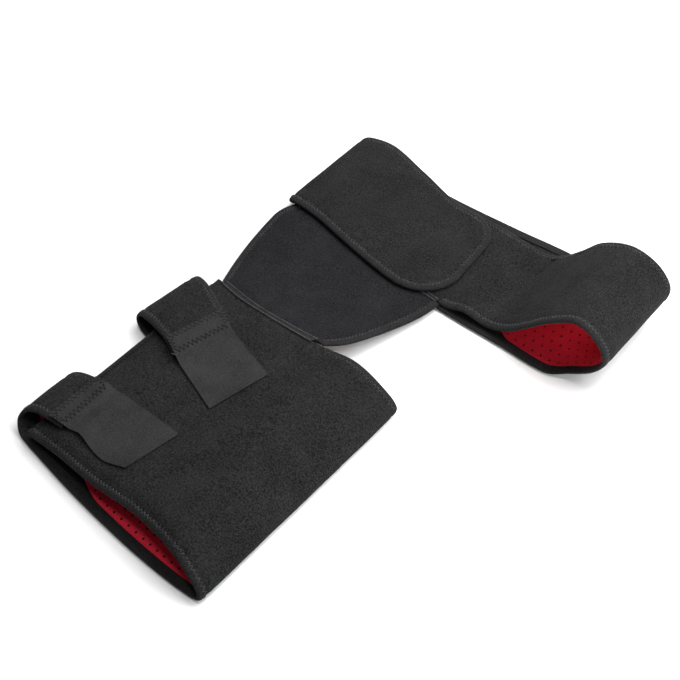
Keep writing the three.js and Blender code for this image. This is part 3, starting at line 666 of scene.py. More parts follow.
def thigh_stations():
    """Even steps round the wrap, with closer ones beside its bound free edge."""
    fine, run = run_along(thigh)
    close = np.interp(MARGIN, run, fine)
    even = even_stations(thigh, FOAM_STEP)
    return np.concatenate([close, even[even > close[-1] + 0.5 * FOAM_STEP / run[-1]]])


def thigh_face(ts, ws):
    """The height of the thigh wrap's outer face over the middle of the sheet."""
    t, w = grid(ts, ws)
    wide = width_at(thigh, t)
    taped = smooth_share(t, *HIP_TAPE_RAMP)
    hip = pinch((1 - w) * wide) * taped + seam_dip((1 - w) * wide) * (1 - taped)
    side = pinch(np.interp(t, *run_along(thigh)))
    drawn_in = np.maximum(np.maximum(pinch(w * wide), hip), side)
    return FACE - drawn_in + unevenness(thigh.point(t, w), seed=11)


thigh_ts = thigh_stations()
thigh_ws = across_shares(THIGH_LONG, FOAM_STEP)
thigh_shell = add_piece(
    "thigh_wrap_foam",
    *wall(thigh, thigh_ts, thigh_ws, SHELL_INNER, thigh_face(thigh_ts, thigh_ws)),
    LOOP_FABRIC, ["thigh_shell"], "loop_fabric",
)

# %% [markdown]
# The red lining is a knit punched with small holes in staggered rows, so that the skin can breathe.
# Painted dots would do from far away, but real holes stay right from every side. Each hole sits in a
# brick: a ring of eight quads joins the brick's outline to the hole's. The bricks of the next row are
# shifted by half, so their corners meet the middles of these, and the whole sheet is one mesh.

# %% Punched lining
HOLE_RADIUS = 1.3
HOLE_PITCH = 10.0
ROW_PITCH = 8.6
HOLE_SIDES = 8  # one for each point of a brick's outline
LINING_OUTER = -FACE + LINING_THICK
LINING_INNER = -FACE


def brick_rows(long, wide):
    """Flat points and faces of a sheet of staggered bricks, each with a hole of eight sides."""
    columns = max(2, round(long / HOLE_PITCH))
    rows = max(2, round(wide / ROW_PITCH))
    u_step = long / (2 * columns)
    v_step = wide / (2 * rows)
    per_row = 2 * columns + 1
    flat = [(i * u_step, 2 * j * v_step) for j in range(rows + 1) for i in range(per_row)]
    faces = []

    def add_point(u, v):
        flat.append((u, v))
        return len(flat) - 1

    for j in range(rows):
        low, high = j * per_row, (j + 1) * per_row
        middle_v = (2 * j + 1) * v_step
        first = j % 2
        sides = {i: add_point(i * u_step, middle_v) for i in range(first, per_row, 2)}
        for i in range(first, per_row - 2, 2):
            outline = [
                low + i, low + i + 1, low + i + 2, sides[i + 2],
                high + i + 2, high + i + 1, high + i, sides[i],
            ]
            hole = []
            for k in range(HOLE_SIDES):
                angle = math.radians(360 / HOLE_SIDES * k - 135)
                u = (i + 1) * u_step + HOLE_RADIUS * math.cos(angle)
                hole.append(add_point(u, middle_v + HOLE_RADIUS * math.sin(angle)))
            for k in range(HOLE_SIDES):
                after = (k + 1) % HOLE_SIDES
                faces.append((outline[k], outline[after], hole[after], hole[k]))
        if first:
            last = per_row - 1
            faces += [(low, low + 1, sides[1], high), (sides[1], high + 1, high)]
            faces += [(low + last - 1, low + last, high + last, sides[last - 1])]
            faces += [(sides[last - 1], high + last, high + last - 1)]
    return np.array(flat), faces


def closed_sheet(outer_points, inner_points, faces):
    """Two faces of a sheet joined all round their edges, the edges of the holes among them."""
    count = len(outer_points)
    edges = {(f[k], f[(k + 1) % len(f)]) for f in faces for k in range(len(f))}
    rims = [(b, a, a + count, b + count) for a, b in edges if (b, a) not in edges]
    under = [tuple(i + count for i in reversed(f)) for f in faces]
    return np.concatenate([outer_points, inner_points]), faces + under + sorted(rims)


def punched_lining(surface, long, wide, place):
    """place turns flat u, v in mm into t and w on the surface."""
    flat, faces = brick_rows(long, wide)
    t, w = place(flat[:, 0], flat[:, 1])
    middle, up = surface.point(t, w), surface.normal(t, w)
    return closed_sheet(middle + LINING_OUTER * up, middle + LINING_INNER * up, faces)


print("holes along 100 mm of lining:", round(100 / HOLE_PITCH))

# %% [markdown]
# Inside the wrap the lining runs up to the inner leg of the tape, and nearly up to the seam where the
# bridge is sewn on. At the left end of the knee edge it stops further in, so that black foam shows there
# in place of red: painted shade, for the dark inside the wrap's narrow end. A larger sheet could be
# trimmed to this outline, but the cut would go through holes, so the rows of holes are spread between
# the margins instead.

# %% Thigh wrap, red lining
LINING_MARGIN = 8.9  # where the lining starts, beside the inner leg of the tape
SEAM_MARGIN = 3.0  # and beside a seam
END_MARGIN = 1.0  # and at a cut end
KNEE_SHADE_MARGIN = 12.0  # how much further in it starts at the left end, where the black foam is painted shade
THIGH_FLOOR = row_station(THIGH_ROWS, "floor")
KNEE_SHADE_RAMP = (THIGH_FLOOR - 0.028, THIGH_FLOOR + 0.032)  # the t over which it goes in
HIP_LINING_RAMP = (HIP_FROM - 0.02, HIP_FROM)  # and over which a seam's margin becomes a tape's
THIGH_LINING_LONG = length_along(thigh) - LINING_MARGIN - END_MARGIN
THIGH_LINING_WIDE = THIGH_LONG - 2 * LINING_MARGIN


def along_strip(surface, start_mm):
    """A function from mm along a strip, counted from start_mm, to t."""
    fine, run = run_along(surface)
    return lambda u: np.interp(u + start_mm, run, fine)


def across_between(surface, t, low_margin, high_margin, share):
    """The w that lies a share of the way between two margins, each in mm from its edge."""
    wide = width_at(surface, t)
    low, high = low_margin / wide, 1 - high_margin / wide
    return low + (high - low) * share


def margin_at(taped):
    """The lining's margin in mm, from a seam's at 0 to a tape's at 1."""
    return SEAM_MARGIN + (LINING_MARGIN - SEAM_MARGIN) * taped


thigh_along = along_strip(thigh, LINING_MARGIN)


def thigh_lining_place(u, v):
    t = thigh_along(u)
    # painted shade: the lining stops short at the left end, so black foam shows where the wrap is dark
    # inside
    knee_margin = LINING_MARGIN + KNEE_SHADE_MARGIN * smooth_share(t, *KNEE_SHADE_RAMP)
    hip_margin = margin_at(smooth_share(t, *HIP_LINING_RAMP))
    return t, across_between(thigh, t, knee_margin, hip_margin, v / THIGH_LINING_WIDE)


thigh_lining = add_piece(
    "thigh_wrap_lining",
    *punched_lining(thigh, THIGH_LINING_LONG, THIGH_LINING_WIDE, thigh_lining_place),
    RED_CLOTH, ["thigh_lining"], "red_lining",
)

# %% [markdown]
# The edges are bound with a folded tape: a short leg on the loop face, a bend round the raw edge, and
# a longer leg on the lining. Its section is drawn once, as a line with a thickness, and carried along
# the edge. A curve with a bevel profile would twist at the fold; frames taken from the sheet do not,
# because the sheet itself says which way is out and which way is up.

# %% Folded tape
TAPE_THICK = 0.75
TAPE_TIP = 0.35  # thickness at the tape's two cut edges
TAPE_STEP = 2.6
TAPE_LINE = np.array([  # mm out of the edge, and mm up from the middle of the sheet
    (-6.0, FACE - 0.80), (-5.5, FACE - 0.45), (-4.6, FACE - 0.36), (-3.4, FACE - 0.38), (-2.2, FACE - 0.48),
    (-1.1, FACE - 0.72), (-0.2, FACE - 1.12), (0.5, FACE - 1.65), (0.95, -0.10), (1.05, -0.75),
    (0.80, -1.40), (0.25, -1.90), (-0.7, -2.18), (-2.0, -FACE), (-4.0, -FACE), (-6.0, -FACE), (-7.8, -FACE),
    (-8.5, -2.05),
])


def tape_section():
    """The tape's outside line, and its inside line one thickness further in."""
    along = unit(np.gradient(TAPE_LINE, axis=0))
    inward = np.stack([along[:, 1], -along[:, 0]], axis=1)
    thick = np.full(len(TAPE_LINE), TAPE_THICK)
    thick[[0, -1]] = TAPE_TIP
    return TAPE_LINE, TAPE_LINE + inward * thick[:, None]


def edge_frames(surface, w, ts):
    """Points along one edge of a surface, with the directions out of the edge and up off the face."""
    edge = np.full_like(ts, float(w))
    up = surface.normal(ts, edge)
    out = unit(np.cross(unit(along_step(surface, ts, edge)), up)) * (1 if w == 0 else -1)
    return {"point": surface.point(ts, edge), "out": out, "up": up}


def joined_frames(*parts):
    return {key: np.concatenate([p[key] for p in parts]) for key in ("point", "out", "up")}


def signed_volume(points, faces):
    total = 0.0
    for face in faces:
        a = points[face[0]]
        for b, c in zip(face[1:-1], face[2:]):
            total += np.dot(a, np.cross(points[b], points[c]))
    return total


def swept_tape(frames):
    """The tape's section carried along the frames, with its faces turned outwards."""
    outside, inside = tape_section()
    ring = np.concatenate([outside, inside[::-1]])
    size, lines, rings = len(ring), len(outside), len(frames["point"])
    points = (
        frames["point"][:, None] + frames["out"][:, None] * ring[None, :, :1]
        + frames["up"][:, None] * ring[None, :, 1:]
    ).reshape(-1, 3)
    k = np.arange(size)
    after = (k + 1) % size
    quads = [np.stack([k, after, after + size, k + size], axis=1) + size * i for i in range(rings - 1)]
    side = np.arange(lines - 1)
    cap = np.stack([side, size - 1 - side, size - 2 - side, side + 1], axis=1)
    end = cap[:, ::-1] + size * (rings - 1)
    faces = np.concatenate([*quads, cap, end])
    first_rings = points[: 2 * size] - points[0]
    sample = np.concatenate([quads[0], cap, cap[:, ::-1] + size])
    return points, faces if signed_volume(first_rings, sample) > 0 else faces[:, ::-1]


def add_tape(name, frames, replaces):
    return add_piece(name, *swept_tape(frames), BINDING_TAPE, [replaces], "binding_tape", crease=70)


print("tape, mm across its section:", round(distances(TAPE_LINE)[-1], 1))

# %% [markdown]
# Three tapes bind the wrap: round the knee edge, along the right part of the hip edge, and along the
# free edge between them. One tape could go round all three, but three are simpler, as each has a single
# edge to follow. The free edge crosses the strip, so the way out of it is found from a point further in.

# %% Thigh wrap, bound edges
SIDE_MARGIN = 9.7 / THIGH_LONG  # the free edge's tape stops short of both corners
SIDE_RINGS = 80
FURTHER_IN = 0.01  # a t just inside the free edge

knee_frames = edge_frames(thigh, 0, even_stations(thigh, TAPE_STEP, w=0))
hip_frames = edge_frames(thigh, 1, even_stations(thigh, TAPE_STEP, w=1, start=HIP_FROM))
side_ws = np.linspace(SIDE_MARGIN, 1 - SIDE_MARGIN, SIDE_RINGS)
free_edge = thigh.point(0.0, side_ws)
side_frames = {
    "point": free_edge,
    "out": unit(free_edge - thigh.point(FURTHER_IN, side_ws)),
    "up": thigh.normal(0.0, side_ws),
}
knee_tape = add_tape("thigh_knee_tape", knee_frames, "thigh_knee_binding")
hip_tape = add_tape("thigh_hip_tape", hip_frames, "thigh_hip_binding")
side_tape = add_tape("thigh_side_tape", side_frames, "thigh_side_binding")

# %% [markdown]
# A zigzag seam holds the tape down, half on the tape and half on the cloth. At this distance each
# stitch is only a pixel or two, but their rhythm is what makes the edge look sewn. Every stitch is a
# small arched tube from one needle hole to the next, its ends drawn down into the cloth. All stitches
# of a row are worked out together as one array.

# %% Single stitches
THREAD_RADIUS = 0.42
STITCH_RISE = 0.16
STITCH_SINK = 0.30
STITCH_SIDES = 5
STITCH_SHARES = np.array([0.0, 0.18, 0.5, 0.82, 1.0])
STITCH_GIRTHS = np.array([0.6, 1.0, 1.0, 1.0, 0.6])  # thinner where the thread goes into the cloth
ARCH = 0.8  # under 1 makes the arch's top flatter


def thread_arches(starts, ends, ups, radius=THREAD_RADIUS):
    """Small closed tubes, one from each start to its end, arched up off the cloth."""
    shares = STITCH_SHARES[None, :, None]
    lift = (STITCH_RISE + STITCH_SINK) * np.sin(math.pi * STITCH_SHARES) ** ARCH - STITCH_SINK
    line = starts[:, None] * (1 - shares) + ends[:, None] * shares + ups[:, None] * lift[None, :, None]
    side = unit(np.cross(ups, ends - starts))
    angle = 2 * math.pi * np.arange(STITCH_SIDES) / STITCH_SIDES
    round_it = side[:, None] * np.cos(angle)[None, :, None] + ups[:, None] * np.sin(angle)[None, :, None]
    girth = radius * STITCH_GIRTHS
    points = line[:, :, None] + girth[None, :, None, None] * round_it[:, None]
    steps = len(STITCH_SHARES)
    per_stitch = steps * STITCH_SIDES
    k = np.arange(STITCH_SIDES)
    after = (k + 1) % STITCH_SIDES
    quads = np.concatenate([
        np.stack([k, k + STITCH_SIDES, after + STITCH_SIDES, after], axis=1) + STITCH_SIDES * i
        for i in range(steps - 1)
    ])
    caps = [tuple(k), tuple(k[::-1] + STITCH_SIDES * (steps - 1))]
    faces = []
    for n in range(len(starts)):
        faces += (quads + n * per_stitch).tolist()
        faces += [tuple(int(i) + n * per_stitch for i in cap) for cap in caps]
    return points.reshape(-1, 3), faces


print("a stitch has", len(STITCH_SHARES) * STITCH_SIDES, "points")

# %% [markdown]
# Along an edge the needle goes down in turn on the tape and on the cloth, in even steps. A stitch
# pattern could be painted on, but then it would have no shadow and no thread to catch the light. The
# height of each hole follows from the tape's section, or from how far the foam is pinched there.

# %% Zigzag along an edge
STITCH_PITCH = 4.0  # from one zig to the next
ZIGZAG = (-3.4, -7.4)  # mm from the edge: on the tape, and on the cloth
TAPE_TOP_POINTS = 10  # of the tape's line, from its leg on the loop face to the bend


def bound_edge_height(x):
    """How high the bound edge stands over the middle of the sheet, x mm out of the edge."""
    top = TAPE_LINE[:TAPE_TOP_POINTS]
    return np.where(x > -BIND_REACH, np.interp(x, top[:, 0], top[:, 1]), FACE - pinch(-x))


def joined_meshes(parts):
    points, faces, count = [], [], 0
    for some_points, some_faces in parts:
        points.append(some_points)
        faces += [tuple(i + count for i in f) for f in some_faces]
        count += len(some_points)
    return np.concatenate(points), faces


def frames_at(frames, places):
    """Frames between the given ones, at places in mm along the edge."""
    run = distances(frames["point"])
    mixed = {}
    for key, values in frames.items():
        mixed[key] = np.stack([np.interp(places, run, values[:, i]) for i in range(3)], axis=1)
    return {"point": mixed["point"], "out": unit(mixed["out"]), "up": unit(mixed["up"])}


def zigzag_on_edge(frames, ends=2.0):
    """The stitches along a bound edge."""
    total = distances(frames["point"])[-1]
    holes = np.arange(ends, total - ends, STITCH_PITCH / 2)
    at = frames_at(frames, holes)
    x = np.where(np.arange(len(holes)) % 2 == 0, *ZIGZAG)
    places = at["point"] + at["out"] * x[:, None] + at["up"] * bound_edge_height(x)[:, None]
    return thread_arches(places[:-1], places[1:], at["up"][:-1])


print("stitches along 100 mm of edge:", round(200 / STITCH_PITCH))

# %% [markdown]
# The knee and hip edges are sewn with one thread. The free edge's thread is darker, so its stitches
# can't share their finish, and they are a piece of their own.

# %% Thigh wrap, stitches
thigh_stitches = add_piece(
    "thigh_wrap_stitches",
    *joined_meshes([zigzag_on_edge(f) for f in (knee_frames, hip_frames)]),
    THREAD, slot="binding_tape",
)
side_stitches = add_piece(
    "thigh_side_stitches", *zigzag_on_edge(side_frames), DARK_THREAD_AND_PIT_SHADE, slot="binding_tape"
)

# %% [markdown]
# Two tabs run out of the bottom layer, come up round the free edge and lie on top. They are made as
# the wrap is: foam, lining, two taped edges and their stitches, so one function makes both.

# %% Tabs
TAB_STEP = 2.6
TAB_LINING_MARGIN = 17.0  # the tabs' lining stops short of the tape
CURL_MARGIN = 7.0  # and further still on the knee side of the curl


def bound_face(surface, ts, ws, seed):
    """The outer face of a strip with tape along both its edges."""
    t, w = grid(ts, ws)
    wide = width_at(surface, t)
    drawn_in = np.maximum(pinch(w * wide), pinch((1 - w) * wide))
    return FACE - drawn_in + unevenness(surface.point(t, w), seed)


def add_tab(name, tab, seed):
    ts = even_stations(tab, TAB_STEP)
    wide = float(width_at(tab, 0.5))
    ws = across_shares(wide, TAB_STEP)
    foam = add_piece(
        f"{name}_tab_foam", *wall(tab, ts, ws, SHELL_INNER, bound_face(tab, ts, ws, seed)),
        LOOP_FABRIC, [f"{name}_tab_shell"], "loop_fabric",
    )
    along = along_strip(tab, END_MARGIN)
    lining_wide = wide - 2 * TAB_LINING_MARGIN - CURL_MARGIN

    def place(u, v):
        t = along(u)
        knee_margin = TAB_LINING_MARGIN + CURL_MARGIN
        return t, across_between(tab, t, knee_margin, TAB_LINING_MARGIN, v / lining_wide)

    lining = add_piece(
        f"{name}_tab_red", *punched_lining(tab, length_along(tab) - 2 * END_MARGIN, lining_wide, place),
        RED_CLOTH, [f"{name}_tab_lining"], "red_lining",
    )
    frames = [edge_frames(tab, w, even_stations(tab, TAPE_STEP, w=w)) for w in (0, 1)]
    tapes = [
        add_tape(f"{name}_tab_{side}_tape", f, f"{name}_tab_{side}_binding")
        for side, f in zip(("knee", "hip"), frames)
    ]
    stitches = add_piece(
        f"{name}_tab_stitches", *joined_meshes([zigzag_on_edge(f) for f in frames]), THREAD,
        slot="binding_tape",
    )
    return {
        "foam": foam, "lining": lining, "tapes": tapes, "stitches": stitches,
        "wide": wide, "lining_wide": lining_wide,
    }


lower = add_tab("lower", lower_tab, 21)
upper = add_tab("upper", upper_tab, 22)

# %% [markdown]
# A patch of hook cloth is sewn on the end of each tab, and its hooks hold on the loop face below. The
# cloth is thin and stiff: it steps down from the tab's end and lies along the crown. Each row of the
# table says what the patch lies over there and how far clear of it, and the height follows from that.

# %% Hook patches
HOOK_THICK = 1.0
HOOK_LIFT = FACE + LAYER_GAP + HOOK_THICK / 2
HOOK_STEP = 2.0
HOOK_LINES = 32  # across the patch
HOOK_WAVE = 0.1  # how uneven it is
SETTLING = 6  # rounds until the place over a strip stays the same
HOOK_COLUMNS = "at over clear xKnee yKnee xHip yHip"
LOWER_HOOK_ROWS = rows_of(HOOK_COLUMNS, [
    ("sewn start", "tab", 0.4, 32.5, 17.6, 32.5, 76.6),
    ("sewn end", "tab", 0.4, 50.5, 18.4, 49, 77.8),
    ("tuck", "thigh", 2.0, 58.5, 20, 56.5, 78.5),
    ("bump", "thigh", 2.8, 70.7, 21.5, 67, 79.1),
    ("dip", "thigh", 1.2, 91.5, 17.2, 86, 79.6),
    ("curl", "thigh", 0.6, 109, 15.7, 104, 80),
    ("end", "thigh", 0.6, 131.3, 22.2, 142.2, 79),
])
UPPER_HOOK_ROWS = rows_of(HOOK_COLUMNS, [
    ("sewn start", "tab", 0.4, 49.6, 152.7, 65.6, 213),
    ("sewn end", "tab", 0.7, 71.3, 142.6, 87, 203),
    ("tuck", "thigh", 2.5, 81, 138.9, 95.8, 200),
    ("step", "thigh", 1.4, 92, 135.2, 106.5, 197),
    ("middle", "thigh", 0.6, 114.5, 127.7, 128.6, 190.2),
    ("end", "thigh", 0.6, 143.5, 117.3, 158.3, 181),
])


def height_over(strip, x, y, start, end):
    """The height of a strip's middle over a point in plan, where the strip lies roughly level."""
    w = 0.5
    for _ in range(SETTLING):
        t = station_at_x(strip, w, x, start, end)
        near, far = strip.point(t, 0.0)[1], strip.point(t, 1.0)[1]
        w = (y - near) / (far - near)
    return float(strip.point(t, w)[2])


def hook_strip(tab, rows):
    spans = {"tab": (tab, TAB_TOP_START, 1.0), "thigh": (thigh, 0.0, THIGH_TOP_END)}

    def edge(side):
        line = []
        for r in rows:
            strip, start, end = spans[r["over"]]
            x, y = r["x" + side], r["y" + side]
            line.append((x, y, height_over(strip, x, y, start, end) + HOOK_LIFT + r["clear"]))
        return line

    return Strip(edge("Knee"), edge("Hip"))


def add_hook_patch(name, tab, rows):
    hook = hook_strip(tab, rows)
    ts = even_stations(hook, HOOK_STEP)
    ws = np.linspace(0, 1, HOOK_LINES)
    lift = unevenness(hook.point(*grid(ts, ws)), seed=31, height=HOOK_WAVE)
    patch = add_piece(
        f"{name}_tab_hook_patch", *wall(hook, ts, ws, lift - HOOK_THICK / 2, lift + HOOK_THICK / 2),
        HOOK_CLOTH, [f"{name}_tab_hook"], "hook_patch",
    )
    return hook, patch


lower_hook, lower_patch = add_hook_patch("lower", lower_tab, LOWER_HOOK_ROWS)
upper_hook, upper_patch = add_hook_patch("upper", upper_tab, UPPER_HOOK_ROWS)

# %% [markdown]
# A wide zigzag holds each patch on its tab, across both ends of the lap and down its two sides. At each
# turn the needle leaves a small pit, which lies in shade. The pits could be dents in the patch, but they
# are much finer than its grid, so their shade is painted: each is a short, thick stitch of dark thread.
# On the upper patch the end of the thread was left hanging.

# %% Stitches of the hook patches
PATCH_ZIGZAG = 2.2  # mm to each side of the seam
PATCH_PITCH = 4.8
PATCH_ENDS = 1.0  # mm without stitches at both ends of a seam
CROSS_SEAM = np.linspace(0.03, 0.97, 60)  # the w along a seam across the patch
FIRST_CROSS_SEAM = 0.03  # the t of the first one
LAST_CROSS_SEAM = 0.96  # and how far down the lap the other is
SIDE_SEAMS = (0.035, 0.965)  # the w of the seams down the lap
SIDE_SEAM_FROM = 0.02  # the t where they start
SIDE_SEAM_TO = 0.9  # and how far down the lap they go
SIDE_SEAM_STEPS = 30
NEEDLE_PIT_SHADE = 0.65  # half the length and the radius of the painted shade in each pit that the needle leaves
UP = np.array([0.0, 0.0, 1.0])
TAIL_PAST = 1.25  # how far past the lap the loose thread comes out
TAIL_FROM = 0.02  # and its w there
TAIL_BEND = np.array([-2.2, -1.6, 0.3])  # from the patch's edge to the bend of the loose thread
TAIL_END = np.array([-5.2, -2.2, -0.4])  # and to its end
TAIL_RADIUS = 0.4


def zigzag_on_face(surface, path_t, path_w, height):
    """Stitches along a path on a face, swinging to both sides of it, and painted shade in the needle's
    pits.
    """
    line = surface.point(path_t, path_w)
    run = distances(line)
    holes = np.arange(PATCH_ENDS, run[-1] - PATCH_ENDS, PATCH_PITCH / 2)
    t, w = np.interp(holes, run, path_t), np.interp(holes, run, path_w)
    up = surface.normal(t, w)
    point = surface.point(t, w)
    aside = unit(np.cross(up, np.gradient(point, axis=0)))
    swing = np.where(np.arange(len(holes)) % 2 == 0, PATCH_ZIGZAG, -PATCH_ZIGZAG)
    places = point + aside * swing[:, None] + up * height
    pit = aside * NEEDLE_PIT_SHADE
    # painted shade: a short, thick dark stitch at each needle pit
    pit_shades = thread_arches(places - pit, places + pit, up, NEEDLE_PIT_SHADE)
    return thread_arches(places[:-1], places[1:], up[:-1]), pit_shades


def add_patch_stitches(name, hook, rows):
    sewn_end = row_station(rows, "sewn end")
    down = np.linspace(SIDE_SEAM_FROM, sewn_end * SIDE_SEAM_TO, SIDE_SEAM_STEPS)
    crossing = (FIRST_CROSS_SEAM, sewn_end * LAST_CROSS_SEAM)
    paths = [(np.full_like(CROSS_SEAM, t), CROSS_SEAM) for t in crossing]
    paths += [(down, np.full_like(down, w)) for w in SIDE_SEAMS]
    stitched, pit_shade_parts = zip(*[zigzag_on_face(hook, t, w, HOOK_THICK / 2) for t, w in paths])
    return [
        add_piece(f"{name}_patch_stitches", *joined_meshes(stitched), PATCH_THREAD, slot="hook_patch"),
        # painted shade in the needle pits, made of dark thread
        add_piece(f"{name}_patch_painted_pit_shade", *joined_meshes(pit_shade_parts), DARK_THREAD_AND_PIT_SHADE, slot="hook_patch"),
    ]


def add_thread_tail(hook, rows):
    """The end of the upper patch's thread, left hanging over the knee side of the patch."""
    station = row_station(rows, "sewn end") * TAIL_PAST
    start = hook.point(station, TAIL_FROM) + UP * HOOK_THICK / 2
    lines = np.array([start, start + TAIL_BEND, start + TAIL_END])
    tail = thread_arches(lines[:-1], lines[1:], np.tile(UP, (2, 1)), TAIL_RADIUS)
    return add_piece("upper_patch_thread_tail", *tail, SEAM_THREAD, slot="hook_patch")


lower_sewn = add_patch_stitches("lower", lower_hook, LOWER_HOOK_ROWS)
upper_sewn = add_patch_stitches("upper", upper_hook, UPPER_HOOK_ROWS)
upper_sewn.append(add_thread_tail(upper_hook, UPPER_HOOK_ROWS))

# %% [markdown]
# The belt is one long strip, but its flap ends in two round corners. Cutting them with a boolean would
# leave a torn grid, so the grid is drawn in instead: each line along the belt ends where it meets the
# rounded outline, and its points are spread evenly up to there.

# %% The flap's rounded outline
FLAP_CORNERS = {"low": 46.0, "high": 35.0}  # radius of each
OUTLINE_LINES = 801  # along which the outline is looked for
HALVINGS = 40  # of the stretch that it lies in


def rounded_corner(before, corner, after, radius):
    arriving, leaving = unit(corner - before), unit(after - corner)
    turn = math.acos(np.clip(np.dot(arriving, leaving), -1, 1))
    left = np.cross(UP, arriving)
    start = corner - arriving * radius * math.tan(turn / 2)
    return {
        "centre": start + left * radius, "radius": radius, "turn": turn,
        "arriving": arriving, "leaving": leaving, "left": left,
    }


FLAP_LOW, FLAP_HIGH = belt.point(1.0, 0.0), belt.point(1.0, 1.0)
LOW_CORNER = rounded_corner(belt.point(FLAP_RIGHT, 0.0), FLAP_LOW, FLAP_HIGH, FLAP_CORNERS["low"])
HIGH_CORNER = rounded_corner(FLAP_LOW, FLAP_HIGH, belt.point(FLAP_RIGHT, 1.0), FLAP_CORNERS["high"])
FLAP_END_OUT = np.cross(LOW_CORNER["leaving"], UP)


def inside_flap_end(points):
    """How far points lie inside the flap's rounded end, in mm; less than 0 outside it."""
    depth = (FLAP_LOW - points) @ FLAP_END_OUT
    for corner in (LOW_CORNER, HIGH_CORNER):
        away = (points - corner["centre"])[..., :2]
        in_corner = (away @ corner["arriving"][:2] > 0) & (away @ corner["leaving"][:2] < 0)
        depth = np.where(in_corner, corner["radius"] - np.linalg.norm(away, axis=-1), depth)
    return depth


class RoundedBelt:
    """The belt with its lines drawn in to the flap's outline, or to a line inset from it."""

    def __init__(self, inset):
        self.shares = np.linspace(0, 1, OUTLINE_LINES)
        low = np.full(OUTLINE_LINES, FLAP_RIGHT)
        high = np.ones(OUTLINE_LINES)
        for _ in range(HALVINGS):
            middle = (low + high) / 2
            inside = inside_flap_end(belt.point(middle, self.shares)) > inset
            low, high = np.where(inside, middle, low), np.where(inside, high, middle)
        self.ends = low

    def station(self, t, w):
        t, w = paired(t, w)
        share = np.clip((t - FLAP_RIGHT) / (1 - FLAP_RIGHT), 0, 1)
        end = np.interp(w, self.shares, self.ends)
        return np.where(t > FLAP_RIGHT, FLAP_RIGHT + share * (end - FLAP_RIGHT), t)

    def point(self, t, w):
        return belt.point(self.station(t, w), w)

    def normal(self, t, w):
        return belt.normal(self.station(t, w), w)


trimmed_belt = RoundedBelt(0.0)
print("flap corners turn, degrees:", [round(math.degrees(c["turn"])) for c in (LOW_CORNER, HIGH_CORNER)])

# %% [markdown]
# The belt's foam is drawn in along its taped edges and round the flap's end. Where the loop starts to
# rise, the foam folds sharply, with a crease and a slight swell past it. More rows in the table could
# bend the whole sheet there, but only the face shows it, so it is pressed into the face, and the grid
# has closer lines across it.

# %% Belt, black layer
BELT_WIDE = 122.0
CREASE = {"from_dip": 9.0, "slant": 0.11, "depth": 2.0, "reach": 3.2}  # where the loop starts to rise
CREASE_STEP = 1.2  # closer rows across it
BULGE = {"from_crease": 19.0, "height": 0.7, "reach": 9.0}  # and the swell of the foam past it
FLAP_END_RUN = 52.0  # about the length of a line from the row "flap right" to the flap's end
FLAP_END_LINES = 12  # from that row to the closer ones beside the tape
SEAM_RAMP = (SEAM_END - 0.003, SEAM_END + 0.003)  # the t over which the seam gives way to the tape


def belt_stations():
    dip, foot = (row_station(BELT_ROWS, name) for name in ("dip", "rise foot"))
    main = np.concatenate([
        even_stations(belt, FOAM_STEP, end=dip)[:-1],
        even_stations(belt, CREASE_STEP, start=dip, end=foot)[:-1],
        even_stations(belt, FOAM_STEP, start=foot, end=FLAP_RIGHT),
    ])
    end = FLAP_RIGHT + (1 - FLAP_RIGHT) * (1 - np.array(MARGIN[::-1]) / FLAP_END_RUN)
    between = np.linspace(FLAP_RIGHT, end[0], FLAP_END_LINES)[1:-1]
    return np.concatenate([main, between, end])


def belt_run_from(station):
    """Values of t, and how far each lies along the belt from a station, in mm."""
    fine, run = run_along(belt)
    return fine, run - np.interp(station, fine, run)


def belt_face(ts, ws):
    """The height of the belt's outer face over the middle of the sheet."""
    t, w = grid(ts, ws)
    points = trimmed_belt.point(t, w)
    wide = width_at(belt, trimmed_belt.station(t, w))
    taped = smooth_share(t, *SEAM_RAMP)
    low = pinch(w * wide) * taped + seam_dip(w * wide) * (1 - taped)
    high = pinch((1 - w) * wide)
    end = np.where(t > FLAP_RIGHT, pinch(inside_flap_end(points)), 0)
    past_dip = np.interp(t, *belt_run_from(row_station(BELT_ROWS, "dip")))
    past_crease = past_dip - CREASE["from_dip"] - CREASE["slant"] * (w - 0.5) * wide
    crease = CREASE["depth"] * np.exp(-(past_crease / CREASE["reach"]) ** 2)
    bulge = BULGE["height"] * np.exp(-((past_crease - BULGE["from_crease"]) / BULGE["reach"]) ** 2)
    edges = np.maximum(np.maximum(low, high), end)
    inside = 1 - np.minimum(edges / GROOVE, 1)
    return FACE - np.maximum(crease, edges) + bulge * inside + unevenness(points, seed=41)


belt_ts = belt_stations()
belt_ws = across_shares(BELT_WIDE, FOAM_STEP)
belt_foam = add_piece(
    "belt_foam", *wall(trimmed_belt, belt_ts, belt_ws, SHELL_INNER, belt_face(belt_ts, belt_ws)),
    LOOP_FABRIC, ["belt_shell"], "loop_fabric",
)

# %% [markdown]
# The belt's lining shows inside the loop. Like the wrap's, it keeps clear of the tape, and more so along
# the far edge and where the two layers meet at the loop's neck. It could stop at the neck, where it
# goes out of sight, but such belts are lined all along.

